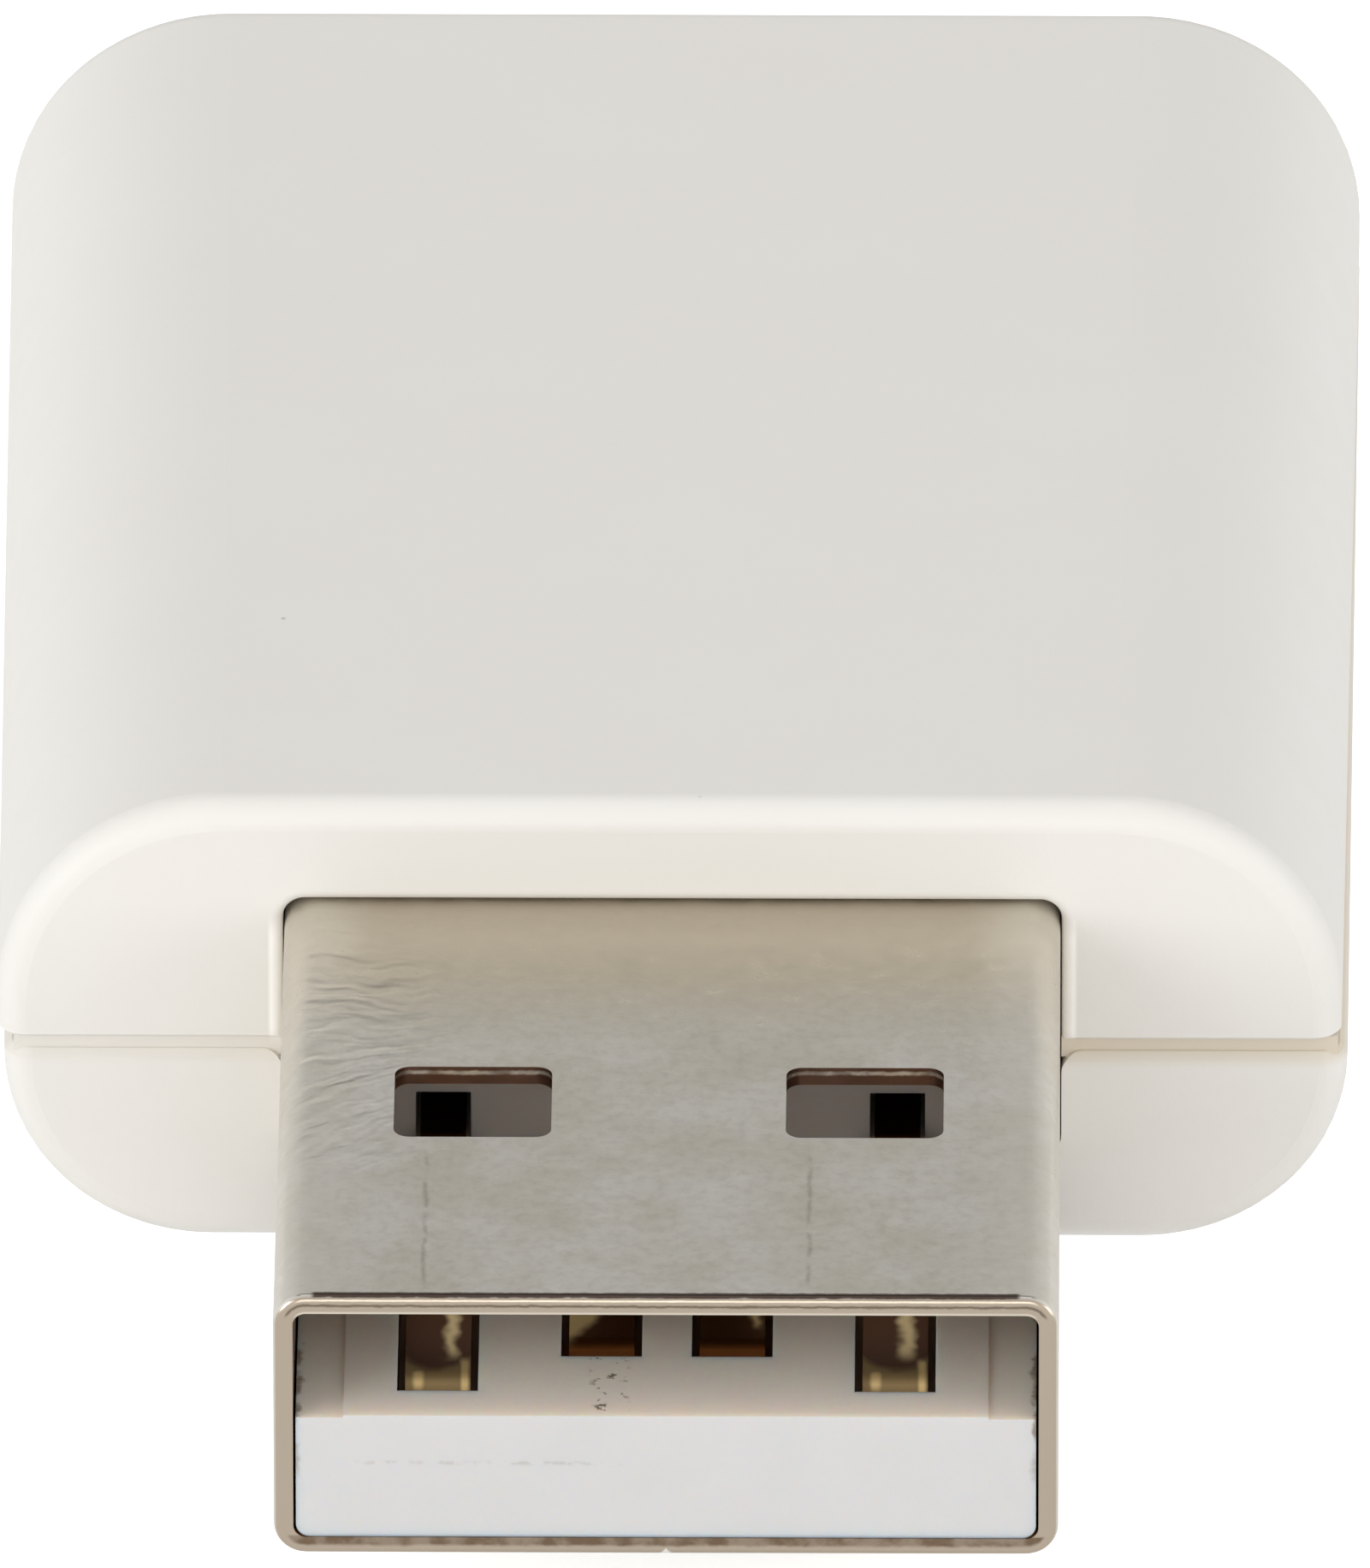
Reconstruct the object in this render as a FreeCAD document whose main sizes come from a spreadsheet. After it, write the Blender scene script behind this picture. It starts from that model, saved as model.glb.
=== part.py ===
import FreeCAD, Part
import os
import Sketcher

# Plug-in radio signal repeater: a two-part moulded housing with a folded metal plug.
# Drawn with the housing's front face at Y = 0, the plug towards -Y and the table at Z = 0,
# then moved along Y so that the origin is under the middle of the whole object.
# All sizes are millimetres.

SIZES = [
    # Moulded housing
    ("shell_wide", 20.8, "housing width at its front face"),
    ("shell_wide_back", 21.4, "housing width at its back"),
    ("shell_long", 26.8, "housing length"),
    ("wall", 1.2, "housing wall"),
    ("floor_gap", 0.29, "plug's height over the housing's floor"),
    ("roof_gap", 0.51, "roof's height over the plug"),
    ("top_corner", 3.5, "long upper corner radius"),
    ("low_corner", 3.2, "long lower corner radius"),
    ("face_round", 0.45, "rounding of the front and back edges"),
    ("seam_rise", 2.01, "height of the parting seam over the plug's underside"),
    ("seam_gap", 0.25, "width of the shadow gap at the seam"),
    ("seam_deep", 0.15, "depth of the shadow gap at the seam"),
    ("upper_bevel", 0.05, "bevel of the upper shell's rim"),
    ("lower_bevel", 0.12, "bevel of the lower shell's rim"),
    ("lip_thick", 0.5, "thickness of the lower shell's lip"),
    ("lip_rise", 0.5, "height of the lip above the seam"),
    ("lip_clear", 0.06, "clearance round the lip"),
    ("half_offset", 0.05, "sideways offset of each shell's front end"),
    # Metal plug
    ("plug_wide", 12.0, "plug width"),
    ("plug_high", 4.5, "plug height"),
    ("plug_sheet", 0.3, "plug sheet thickness"),
    ("plug_out", 12.6, "plug length outside the housing"),
    ("plug_hidden", 6.2, "plug length inside the housing"),
    ("plug_corner", 0.5, "outer bend radius of the plug"),
    ("mouth_round", 0.11, "rounding of the plug's mouth"),
    ("plug_clear", 0.02, "clearance beside the plug in the housing's opening"),
    ("plug_slack", 0.04, "clearance over and under the plug in the housing's opening"),
    ("opening_corner", 0.34, "corner radius of the housing's opening"),
    ("side_round", 0.18, "rounding at the sides of the plug opening"),
    ("notch_round", 0.33, "rounding of the lower shell beside the plug"),
    ("window_wide", 2.42, "latch window width"),
    ("window_long", 2.25, "latch window length"),
    ("window_pitch", 6.02, "spacing of the latch windows"),
    ("window_back", 5.1, "latch window's distance from the mouth"),
    ("window_corner", 0.25, "latch window corner radius"),
    ("fold_gap", 0.02, "butt seam under the plug"),
    ("leg_wide", 1.3, "width of a solder leg"),
    ("leg_reach", 1.2, "reach of a solder leg beyond the plug's side"),
    ("leg_drop", 1.2, "depth of a solder leg through the board"),
    ("leg_front", 2.2, "first solder leg's distance from the front face"),
    ("leg_pitch", 2.4, "spacing of the solder legs"),
    # Contact carrier inside the plug
    ("carrier_side", 0.04, "side clearance of the contact carrier"),
    ("carrier_back", 0.03, "carrier's distance from the mouth"),
    ("tongue_thick", 2.11, "thickness of the carrier's tongue"),
    ("margin_wide", 0.73, "width of the lowered strips along the tongue's sides"),
    ("margin_deep", 0.04, "depth of the lowered strips along the tongue's sides"),
    ("cavity_deep", 8.9, "depth of the plug's open cavity"),
    ("carrier_tail", 0.4, "carrier's distance from the plug's rear end"),
    ("carrier_round", 0.22, "long corner radius of the carrier"),
    ("slot_wide", 1.24, "contact slot width"),
    ("slot_deep", 0.9, "contact slot depth"),
    ("slot_front_outer", 0.8, "outer slots' distance from the tongue's end"),
    ("slot_front_inner", 1.9, "inner slots' distance from the tongue's end"),
    ("passage_wide", 0.85, "width of the contact passages"),
    ("passage_high", 0.8, "height of the contact passages"),
    # Contacts
    ("contact_wide", 1.0, "contact blade width"),
    ("neck_wide", 0.7, "contact width in its passage"),
    ("contact_thick", 0.25, "contact thickness"),
    ("contact_sunk", 0.04, "contact's depth under the tongue's top"),
    ("contact_dip", 0.5, "dip of the contact's nose"),
    ("nose_clear", 0.06, "contact's clearance at the slot's front end"),
    ("nose_long", 0.5, "length of the contact's nose"),
    ("bend_round", 0.3, "bend radius of the contact"),
    ("step_long", 0.4, "length of the contact's step up into its passage"),
    ("outer_pitch", 7.0, "spacing of the outer contacts"),
    ("inner_pitch", 2.0, "spacing of the inner contacts"),
    ("tail_long", 1.6, "contact tail length over the board"),
    # Circuit board
    ("board_thick", 0.8, "board thickness"),
    ("board_clear", 0.3, "board's distance from the housing's walls"),
    ("board_corner", 0.8, "board corner radius"),
    ("bay_clear", 0.15, "clearance of the board round the plug"),
    ("leg_clear", 0.1, "clearance of the leg slots"),
    ("post_thick", 1.8, "diameter of the board posts"),
    ("pin_thick", 0.9, "diameter of the locating pins"),
    ("pin_rise", 0.45, "height of the pins over the board"),
    ("pin_clear", 0.1, "clearance round the pins"),
    ("post_inset", 1.4, "posts' distance from the board's side edges"),
    ("post_front", 8.2, "front posts' distance from the front face"),
    ("post_back", 3.9, "back posts' distance from the back"),
    ("post_clear", 0.04, "clearance of the upper posts over the board"),
    ("rib_thick", 0.8, "thickness of the plug ribs"),
    ("rib_front", 2.0, "first plug rib's distance from the front face"),
    ("rib_pitch", 2.6, "spacing of the plug ribs"),
    ("rib_wide", 9.6, "width of the plug ribs"),
    ("rib_clear", 0.01, "clearance of the upper ribs over the plug"),
    # Radio module
    ("row_room", 3.45, "room for the small parts between the contact tails and the module"),
    ("module_side", 0.8, "module's distance from the posts"),
    ("module_thick", 0.6, "module board thickness"),
    ("module_back", 0.5, "module's distance from the board's back edge"),
    ("notch_wide", 0.48, "diameter of the notches in the module board's edges"),
    ("joint_long", 0.7, "length of a module solder joint"),
    ("joint_out", 0.45, "reach of a module solder joint"),
    ("joint_high", 0.4, "height of a module solder joint"),
    ("chip_side", 3.6, "radio chip side"),
    ("chip_high", 0.8, "radio chip height"),
    ("chip_mark", 0.4, "diameter of the chip's corner dimple"),
    ("mark_deep", 0.08, "depth of the chip's corner dimple"),
    ("crystal_wide", 1.6, "crystal width"),
    ("crystal_long", 1.2, "crystal length"),
    ("crystal_high", 0.5, "crystal height"),
    ("crystal_step", 0.12, "step round the crystal's lid"),
    ("can_inset", 1.1, "can's distance from the module's side edges"),
    ("can_clear", 0.5, "can's distance from the roof"),
    ("can_sheet", 0.15, "shield can sheet thickness"),
    ("can_round", 0.3, "shield can corner radius"),
    ("can_front", 0.6, "can's distance from the module's front edge"),
    ("trace_wide", 0.5, "antenna track width"),
    ("trace_thick", 0.05, "antenna track thickness"),
    ("trace_reach", 3.0, "depth of the antenna's turns"),
    ("trace_gap", 1.7, "antenna's distance from the can"),
    ("trace_edge", 0.5, "antenna's distance from the module's back edge"),
    # Small parts
    ("cap_long", 1.6, "large capacitor length"),
    ("cap_wide", 0.8, "large capacitor width"),
    ("cap_high", 0.8, "large capacitor height"),
    ("bit_long", 1.0, "small chip part length"),
    ("bit_wide", 0.5, "small chip part width"),
    ("bit_high", 0.35, "small chip part height"),
    ("bit_step", 0.8, "sideways spacing of the module's capacitors"),
    ("cap_end", 0.25, "share of a chip part's length in each of its metal end caps"),
    ("cap_skin", 0.02, "thickness of a metal end cap"),
    ("case_wide", 2.9, "moulded case width"),
    ("case_long", 1.6, "moulded case length"),
    ("case_high", 1.1, "moulded case height"),
    ("case_stand", 0.1, "moulded case's height over the board"),
    ("lead_wide", 0.4, "lead width"),
    ("lead_thick", 0.15, "lead thickness"),
    ("lead_foot", 0.4, "lead foot length"),
    ("lead_reach", 0.6, "reach of a lead beyond the case"),
    ("lead_pitch", 0.95, "lead spacing"),
    ("bead_long", 2.0, "ferrite bead length"),
    ("bead_wide", 1.25, "ferrite bead width"),
    ("bead_high", 0.9, "ferrite bead height"),
    ("solder_out", 0.35, "reach of a solder fillet"),
    ("solder_high", 0.22, "height of a contact's solder fillet"),
]

TINY = 1e-4

doc = FreeCAD.newDocument("signal_repeater")
sheet = doc.addObject("Spreadsheet::Sheet", "Sizes")
for row, (name, size, meaning) in enumerate(SIZES, 1):
    sheet.set(f"A{row}", name)
    sheet.set(f"B{row}", str(size))
    sheet.set(f"C{row}", meaning)
    sheet.setAlias(f"B{row}", name)
doc.recompute()

# Places that several pieces share, worked out from the sizes
MIDDLE = "(Sizes.plug_out - Sizes.shell_long) / 2"
MOUTH = "(-Sizes.plug_out)"
PLUG_BASE = "(Sizes.wall + Sizes.floor_gap)"
PLUG_TOP = f"({PLUG_BASE} + Sizes.plug_high)"
ROOF = f"({PLUG_TOP} + Sizes.roof_gap)"
SHELL_HIGH = f"({ROOF} + Sizes.wall)"
UPPER_RIM = f"({PLUG_BASE} + Sizes.seam_rise + Sizes.seam_gap / 2)"
LOWER_RIM = f"({PLUG_BASE} + Sizes.seam_rise - Sizes.seam_gap / 2)"
TONGUE_BASE = f"({PLUG_BASE} + Sizes.plug_sheet)"
TONGUE_TOP = f"({TONGUE_BASE} + Sizes.tongue_thick)"
BLOCK_FACE = f"({MOUTH} + Sizes.cavity_deep)"
BLOCK_END = "(Sizes.plug_hidden - Sizes.carrier_tail)"
BOARD_TOP = TONGUE_TOP
BOARD_BASE = f"({TONGUE_TOP} - Sizes.board_thick)"
BOARD_FRONT = "(Sizes.wall + Sizes.board_clear)"
BOARD_BACK = "(Sizes.shell_long - Sizes.wall - Sizes.board_clear)"
NARROWEST = "min(Sizes.shell_wide; Sizes.shell_wide_back)"
BOARD_SIDE = f"({NARROWEST} / 2 - Sizes.wall - Sizes.board_clear)"
BAY_BACK = "(Sizes.plug_hidden + Sizes.bay_clear)"
TAIL_END = f"({BAY_BACK} + Sizes.tail_long)"
LEG_OUTER = "(Sizes.plug_wide / 2 + Sizes.leg_reach)"
POST_SIDE = f"({BOARD_SIDE} - Sizes.post_inset)"
POST_BACK = "(Sizes.shell_long - Sizes.post_back)"
MODULE_SIDE = f"({POST_SIDE} - Sizes.post_thick / 2 - Sizes.module_side)"
MODULE_FRONT = f"({TAIL_END} + Sizes.row_room)"
MODULE_BACK = f"({BOARD_BACK} - Sizes.module_back)"
MODULE_TOP = f"({BOARD_TOP} + Sizes.module_thick)"
CAN_SIDE = f"({MODULE_SIDE} - Sizes.can_inset)"
CAN_FRONT = f"({MODULE_FRONT} + Sizes.can_front)"
TRACK_BACK = f"({MODULE_BACK} - Sizes.trace_edge)"
TRACK_FRONT = f"({TRACK_BACK} - Sizes.trace_reach)"
CAN_BACK = f"({TRACK_FRONT} - Sizes.trace_gap)"
CAN_TOP = f"({ROOF} - Sizes.can_clear)"


def value(formula):
    """The number that a formula of sheet sizes gives."""
    return float(sheet.evalExpression(formula))


def place(piece, x=None, y=None, z=None):
    """Bind a piece's position to formulas."""
    for axis, formula in (("x", x), ("y", y), ("z", z)):
        if formula is not None:
            piece.setExpression(f".Placement.Base.{axis}", formula)
    return piece


def new_body(label):
    """An empty body that stands in the shared frame."""
    body = doc.addObject("PartDesign::Body", label)
    body.Label = label
    return place(body, y=MIDDLE)


def new_sketch(body, name, role, offset):
    """A sketch on one of the body's own planes, moved along that plane's normal."""
    sketch = body.newObject("Sketcher::SketchObject", f"{body.Label}_{name}_sketch")
    plane = [part for part in body.Origin.OriginFeatures if part.Role == role][0]
    sketch.AttachmentSupport = [(plane, "")]
    sketch.MapMode = "FlatFace"
    sketch.setExpression(".AttachmentOffset.Base.z", offset)
    return sketch


def pin_point(sketch, curve, end, formulas):
    """Tie one point of a sketch to formulas for its two coordinates."""
    for kind, formula in zip(("DistanceX", "DistanceY"), formulas):
        rule = sketch.addConstraint(Sketcher.Constraint(kind, -1, 1, curve, end, value(formula)))
        sketch.setExpression(f"Constraints[{rule}]", formula)


def draw_outline(sketch, points):
    """A closed outline of straight lines through points given as formulas."""
    corners = [FreeCAD.Vector(value(x), value(y), 0) for x, y in points]
    count = len(corners)
    lines = [Part.LineSegment(corners[i], corners[(i + 1) % count]) for i in range(count)]
    curves = sketch.addGeometry(lines, False)
    for i in range(count):
        following = curves[(i + 1) % count]
        sketch.addConstraint(Sketcher.Constraint("Coincident", curves[i], 2, following, 1))
    for curve, formulas in zip(curves, points):
        pin_point(sketch, curve, 1, formulas)


def draw_rectangle(sketch, left, right, low, high):
    """A rectangle between formulas for its four sides."""
    draw_outline(sketch, [(left, low), (right, low), (right, high), (left, high)])


def draw_pair(sketch, inner, outer, low, high):
    """Two like rectangles, one on each side of the middle."""
    draw_rectangle(sketch, inner, outer, low, high)
    draw_rectangle(sketch, f"-({outer})", f"-({inner})", low, high)


def draw_circle(sketch, x, y, diameter):
    """A circle whose centre and diameter are formulas."""
    centre = FreeCAD.Vector(value(x), value(y), 0)
    circle = Part.Circle(centre, FreeCAD.Vector(0, 0, 1), value(diameter) / 2)
    curve = sketch.addGeometry(circle, False)
    pin_point(sketch, curve, 3, (x, y))
    rule = sketch.addConstraint(Sketcher.Constraint("Diameter", curve, value(diameter)))
    sketch.setExpression(f"Constraints[{rule}]", diameter)


# Each direction of extrusion has a plane and the sign of that plane's normal
UPWARDS = ("XY_Plane", 1)
BACKWARDS = ("XZ_Plane", -1)
SIDEWAYS = ("YZ_Plane", 1)


def extrude(kind, body, name, direction, start, length, draw):
    """A pad or pocket that runs from a start along the positive sense of a direction."""
    role, sense = direction
    before = body.Shape.Volume if body.Tip else 0.0
    sketch = new_sketch(body, name, role, f"{sense} * ({start})")
    draw(sketch)
    feature = body.newObject(f"PartDesign::{kind}", f"{body.Label}_{name}")
    feature.Profile = sketch
    feature.Reversed = (sense > 0) == (kind == "Pocket")
    feature.setExpression("Length", length)
    doc.recompute()
    change = body.Shape.Volume - before
    if (change if kind == "Pad" else -change) < TINY:
        raise RuntimeError(f"{feature.Name} changes nothing")
    return feature


def add(body, name, direction, start, length, draw):
    return extrude("Pad", body, name, direction, start, length, draw)


def cut(body, name, direction, start, length, draw):
    return extrude("Pocket", body, name, direction, start, length, draw)


def dress_edges(kind, size_name, body, name, size, test):
    """Round or bevel the edges of the body's last shape whose boxes pass a test."""
    base = body.Tip
    edges = [f"Edge{n}" for n, edge in enumerate(base.Shape.Edges, 1) if test(edge.BoundBox)]
    if not edges:
        raise RuntimeError(f"{body.Label} has no edges for {name}")
    feature = body.newObject(f"PartDesign::{kind}", f"{body.Label}_{name}")
    feature.Base = (base, edges)
    feature.setExpression(size_name, size)
    doc.recompute()
    return feature


def round_edges(body, name, radius, test):
    return dress_edges("Fillet", "Radius", body, name, radius, test)


def bevel_edges(body, name, width, test):
    return dress_edges("Chamfer", "Size", body, name, width, test)


def repeat(body, feature, name, axis, length, count):
    """Repeat a feature along one of the body's own axes, over a total length."""
    pattern = body.newObject("PartDesign::LinearPattern", f"{body.Label}_{name}")
    pattern.Originals = [feature]
    line = [part for part in body.Origin.OriginFeatures if part.Role == axis][0]
    pattern.Direction = (line, [""])
    pattern.setExpression("Length", length)
    pattern.Occurrences = count
    body.Tip = pattern
    doc.recompute()
    return pattern


def level(low, high, formula):
    """Whether a box's two bounds in one direction both lie at a formula's value."""
    return max(abs(low - value(formula)), abs(high - value(formula))) < TINY


def runs_along_y(box):
    return box.XLength < TINY and box.ZLength < TINY


def draw_plan(sketch, inset, shift):
    """Plan of a housing half: a slight taper, inset from the skin, its front end shifted."""
    front = f"(Sizes.shell_wide / 2 - ({inset}))"
    back = f"(Sizes.shell_wide_back / 2 - ({inset}))"
    end = f"Sizes.shell_long - ({inset})"
    corners = [(f"{shift} - {front}", inset), (f"{shift} + {front}", inset)]
    draw_outline(sketch, corners + [(back, end), (f"-{back}", end)])


def shell_half(label, shift, rim, bevel, waste, bay):
    """One half of the hollow housing: the whole rounded block, split at the seam and dug out.

    The waste and the bay are each a start and a length upwards."""
    body = new_body(label)
    length = value("Sizes.shell_long")
    add(body, "block", UPWARDS, "0", SHELL_HIGH, lambda s: draw_plan(s, "0", shift))
    for name, crown, radius in (("top", SHELL_HIGH, "Sizes.top_corner"),
                                ("low", "0", "Sizes.low_corner")):
        round_edges(body, f"{name}_corners", radius,
                    lambda b: b.YLength > length / 2 and level(b.ZMin, b.ZMax, crown))
    round_edges(body, "ends", "Sizes.face_round",
                lambda b: b.YMax < TINY or b.YMin > length - TINY)
    cut(body, "split", UPWARDS, *waste, lambda s: draw_plan(s, "-Sizes.wall", shift))
    bevel_edges(body, "rim", bevel, lambda b: level(b.ZMin, b.ZMax, rim))
    cut(body, "bay", UPWARDS, *bay, lambda s: draw_plan(s, "Sizes.wall", shift))
    return body


def round_bay(body, height, depth, radius):
    """Round the long inner corners of a housing half's bay, no deeper than the bay itself."""
    length = value("Sizes.shell_long")
    room = f"({depth} - Sizes.lower_bevel)"
    round_edges(body, "bay_corners", f"min({radius} - Sizes.wall; {room})",
                lambda b: b.YLength > length / 2 and level(b.ZMin, b.ZMax, height))


HALF_OPENING = "(Sizes.plug_wide / 2 + Sizes.plug_clear)"
OPENING_BASE = f"({PLUG_BASE} - Sizes.plug_slack)"
OPENING_TOP = f"({PLUG_TOP} + Sizes.plug_slack)"


def cut_opening(body, name, low, high):
    """Cut the opening for the plug through the front wall."""
    cut(body, name, BACKWARDS, "-Sizes.wall", "Sizes.wall * 2 + Sizes.board_clear",
        lambda s: draw_rectangle(s, f"-{HALF_OPENING}", HALF_OPENING, low, high))


def beside_plug(box):
    """Whether an edge lies at one side of the plug opening."""
    return level(box.XMin, box.XMax, HALF_OPENING) or level(-box.XMax, -box.XMin, HALF_OPENING)


def draw_posts(sketch, diameter, y):
    for side in ("", "-"):
        draw_circle(sketch, f"{side}{POST_SIDE}", y, diameter)


def draw_all_posts(sketch):
    draw_posts(sketch, "Sizes.post_thick", "Sizes.post_front")
    draw_posts(sketch, "Sizes.post_thick", POST_BACK)


def draw_rib(sketch):
    draw_rectangle(sketch, "-Sizes.rib_wide / 2", "Sizes.rib_wide / 2",
                   "Sizes.rib_front", "Sizes.rib_front + Sizes.rib_thick")


# Lower shell: floor, step and lip at the seam, notch for the plug, board posts, plug ribs

LOWER_BAY = f"({LOWER_RIM} - Sizes.wall)"
lower_shell = shell_half("lower_shell", "Sizes.half_offset", LOWER_RIM, "Sizes.lower_bevel",
                         (LOWER_RIM, SHELL_HIGH), ("Sizes.wall", LOWER_BAY))
round_bay(lower_shell, "Sizes.wall", LOWER_BAY, "Sizes.low_corner")
cut_opening(lower_shell, "notch", OPENING_BASE, PLUG_TOP)
round_edges(lower_shell, "notch_base", "Sizes.plug_corner",
            lambda b: runs_along_y(b) and beside_plug(b) and level(b.ZMin, b.ZMax, OPENING_BASE))
round_edges(lower_shell, "notch_top", "Sizes.notch_round",
            lambda b: runs_along_y(b) and beside_plug(b) and level(b.ZMin, b.ZMax, LOWER_RIM))


def draw_ring(sketch, inset):
    """Plan of a ring round the lower shell's bay, its outside inset from the skin."""
    draw_plan(sketch, inset, "Sizes.half_offset")
    draw_plan(sketch, "Sizes.wall", "Sizes.half_offset")


# The upper shell rests on the step, which leaves the shadow gap, and the lip locates it
add(lower_shell, "step", UPWARDS, f"{LOWER_RIM} - Sizes.lower_bevel",
    "Sizes.seam_gap + Sizes.lower_bevel", lambda s: draw_ring(s, "Sizes.seam_deep"))
add(lower_shell, "lip", UPWARDS, UPPER_RIM, "Sizes.lip_rise",
    lambda s: draw_ring(s, "Sizes.wall - Sizes.lip_thick"))
cut_opening(lower_shell, "lip_notch", f"{LOWER_RIM} - Sizes.lower_bevel", PLUG_TOP)
add(lower_shell, "posts", UPWARDS, "Sizes.wall / 2", f"{BOARD_BASE} - Sizes.wall / 2",
    draw_all_posts)
add(lower_shell, "pins", UPWARDS, BOARD_BASE, "Sizes.board_thick + Sizes.pin_rise",
    lambda s: draw_posts(s, "Sizes.pin_thick", POST_BACK))
lower_rib = add(lower_shell, "rib", UPWARDS, "Sizes.wall / 2", f"{PLUG_BASE} - Sizes.wall / 2",
                draw_rib)
repeat(lower_shell, lower_rib, "ribs", "Y_Axis", "Sizes.rib_pitch", 2)

# Upper shell: roof, rebate for the lip, opening for the plug, posts with pin sockets, ribs

UPPER_BAY = f"({ROOF} - {UPPER_RIM})"
upper_shell = shell_half("upper_shell", "-Sizes.half_offset", UPPER_RIM, "Sizes.upper_bevel",
                         ("-Sizes.wall", f"{UPPER_RIM} + Sizes.wall"),
                         (UPPER_RIM, UPPER_BAY))
round_bay(upper_shell, ROOF, UPPER_BAY, "Sizes.top_corner")
cut_opening(upper_shell, "opening", PLUG_BASE, OPENING_TOP)
round_edges(upper_shell, "opening_top", "Sizes.opening_corner",
            lambda b: runs_along_y(b) and beside_plug(b) and level(b.ZMin, b.ZMax, OPENING_TOP))
round_edges(upper_shell, "opening_sides", "Sizes.side_round",
            lambda b: beside_plug(b) and b.YMax < TINY and b.ZLength > value("Sizes.wall"))


def draw_rebate(sketch):
    slack = "Sizes.lip_clear + 2 * Sizes.half_offset"
    draw_plan(sketch, f"Sizes.wall - Sizes.lip_thick - ({slack})", "-Sizes.half_offset")
    draw_plan(sketch, "Sizes.wall + Sizes.lip_thick", "-Sizes.half_offset")


cut(upper_shell, "rebate", UPWARDS, UPPER_RIM, "Sizes.lip_rise + Sizes.lip_clear", draw_rebate)
POST_START = f"({BOARD_TOP} + Sizes.post_clear)"
add(upper_shell, "posts", UPWARDS, POST_START, f"{ROOF} + Sizes.wall / 2 - {POST_START}",
    draw_all_posts)
cut(upper_shell, "sockets", UPWARDS, BOARD_TOP, "Sizes.pin_rise + Sizes.pin_clear",
    lambda s: draw_posts(s, "Sizes.pin_thick + 2 * Sizes.pin_clear", POST_BACK))
RIB_START = f"({PLUG_TOP} + Sizes.rib_clear)"
upper_rib = add(upper_shell, "rib", UPWARDS, RIB_START, f"{ROOF} + Sizes.wall / 2 - {RIB_START}",
                draw_rib)
repeat(upper_shell, upper_rib, "ribs", "Y_Axis", "Sizes.rib_pitch", 2)

# Plug shell: one folded sheet with latch windows, a butt seam and four solder legs

plug_shell = new_body("plug_shell")
PLUG_LONG = "(Sizes.plug_out + Sizes.plug_hidden)"
SIDE = "(Sizes.plug_wide / 2)"
INSIDE = f"({SIDE} - Sizes.plug_sheet)"
add(plug_shell, "tube", BACKWARDS, MOUTH, PLUG_LONG,
    lambda s: draw_rectangle(s, f"-{SIDE}", SIDE, PLUG_BASE, PLUG_TOP))
round_edges(plug_shell, "bends", "Sizes.plug_corner", runs_along_y)
cut(plug_shell, "bore", BACKWARDS, MOUTH, PLUG_LONG,
    lambda s: draw_rectangle(s, f"-{INSIDE}", INSIDE, TONGUE_BASE, f"{PLUG_TOP} - Sizes.plug_sheet"))
round_edges(plug_shell, "inner_bends", "Sizes.plug_corner - Sizes.plug_sheet",
            lambda b: runs_along_y(b) and (level(b.XMin, b.XMax, INSIDE)
                                           or level(-b.XMax, -b.XMin, INSIDE)))


def on_outer_skin(box):
    return (box.XMax > value(SIDE) - TINY or box.XMin < TINY - value(SIDE)
            or box.ZMax > value(PLUG_TOP) - TINY or box.ZMin < value(PLUG_BASE) + TINY)


round_edges(plug_shell, "mouth", "Sizes.mouth_round",
            lambda b: level(b.YMin, b.YMax, MOUTH) and on_outer_skin(b))
WINDOW_FRONT = f"({MOUTH} + Sizes.window_back)"
cut(plug_shell, "windows", UPWARDS, f"{PLUG_BASE} - Sizes.plug_sheet",
    "Sizes.plug_high + 2 * Sizes.plug_sheet",
    lambda s: draw_pair(s, "(Sizes.window_pitch - Sizes.window_wide) / 2",
                        "(Sizes.window_pitch + Sizes.window_wide) / 2",
                        WINDOW_FRONT, f"{WINDOW_FRONT} + Sizes.window_long"))
round_edges(plug_shell, "window_corners", "Sizes.window_corner",
            lambda b: b.XLength < TINY and b.YLength < TINY
            and abs(b.ZLength - value("Sizes.plug_sheet")) < TINY)


def leg_spans():
    """Front and back of each solder leg along the plug."""
    for number in range(2):
        front = f"(Sizes.leg_front + {number} * Sizes.leg_pitch)"
        yield front, f"({front} + Sizes.leg_wide)"


def draw_leg_gaps(sketch):
    for front, back in leg_spans():
        low = f"{BOARD_TOP} + Sizes.plug_sheet"
        draw_rectangle(sketch, front, back, low, f"{low} + Sizes.leg_reach")


def draw_legs(sketch, inner, outer, slack="0"):
    for front, back in leg_spans():
        draw_pair(sketch, f"({inner} - {slack})", f"({outer} + {slack})",
                  f"{front} - {slack}", f"{back} + {slack}")


cut(plug_shell, "leg_gaps", SIDEWAYS, f"-{LEG_OUTER}", f"2 * {LEG_OUTER}", draw_leg_gaps)
add(plug_shell, "leg_arms", UPWARDS, BOARD_TOP, "Sizes.plug_sheet",
    lambda s: draw_legs(s, INSIDE, LEG_OUTER))
PIN_INNER = f"({LEG_OUTER} - Sizes.plug_sheet)"
add(plug_shell, "leg_pins", UPWARDS, f"{BOARD_TOP} - Sizes.leg_drop", "Sizes.leg_drop",
    lambda s: draw_legs(s, PIN_INNER, LEG_OUTER))
cut(plug_shell, "seam", UPWARDS, f"{PLUG_BASE} - Sizes.plug_sheet", "2 * Sizes.plug_sheet",
    lambda s: draw_rectangle(s, "-Sizes.fold_gap / 2", "Sizes.fold_gap / 2",
                             f"{MOUTH} - Sizes.plug_sheet", "Sizes.plug_hidden + Sizes.plug_sheet"))

# Contact carrier: a moulded tongue with four slots and a block with four passages

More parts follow.
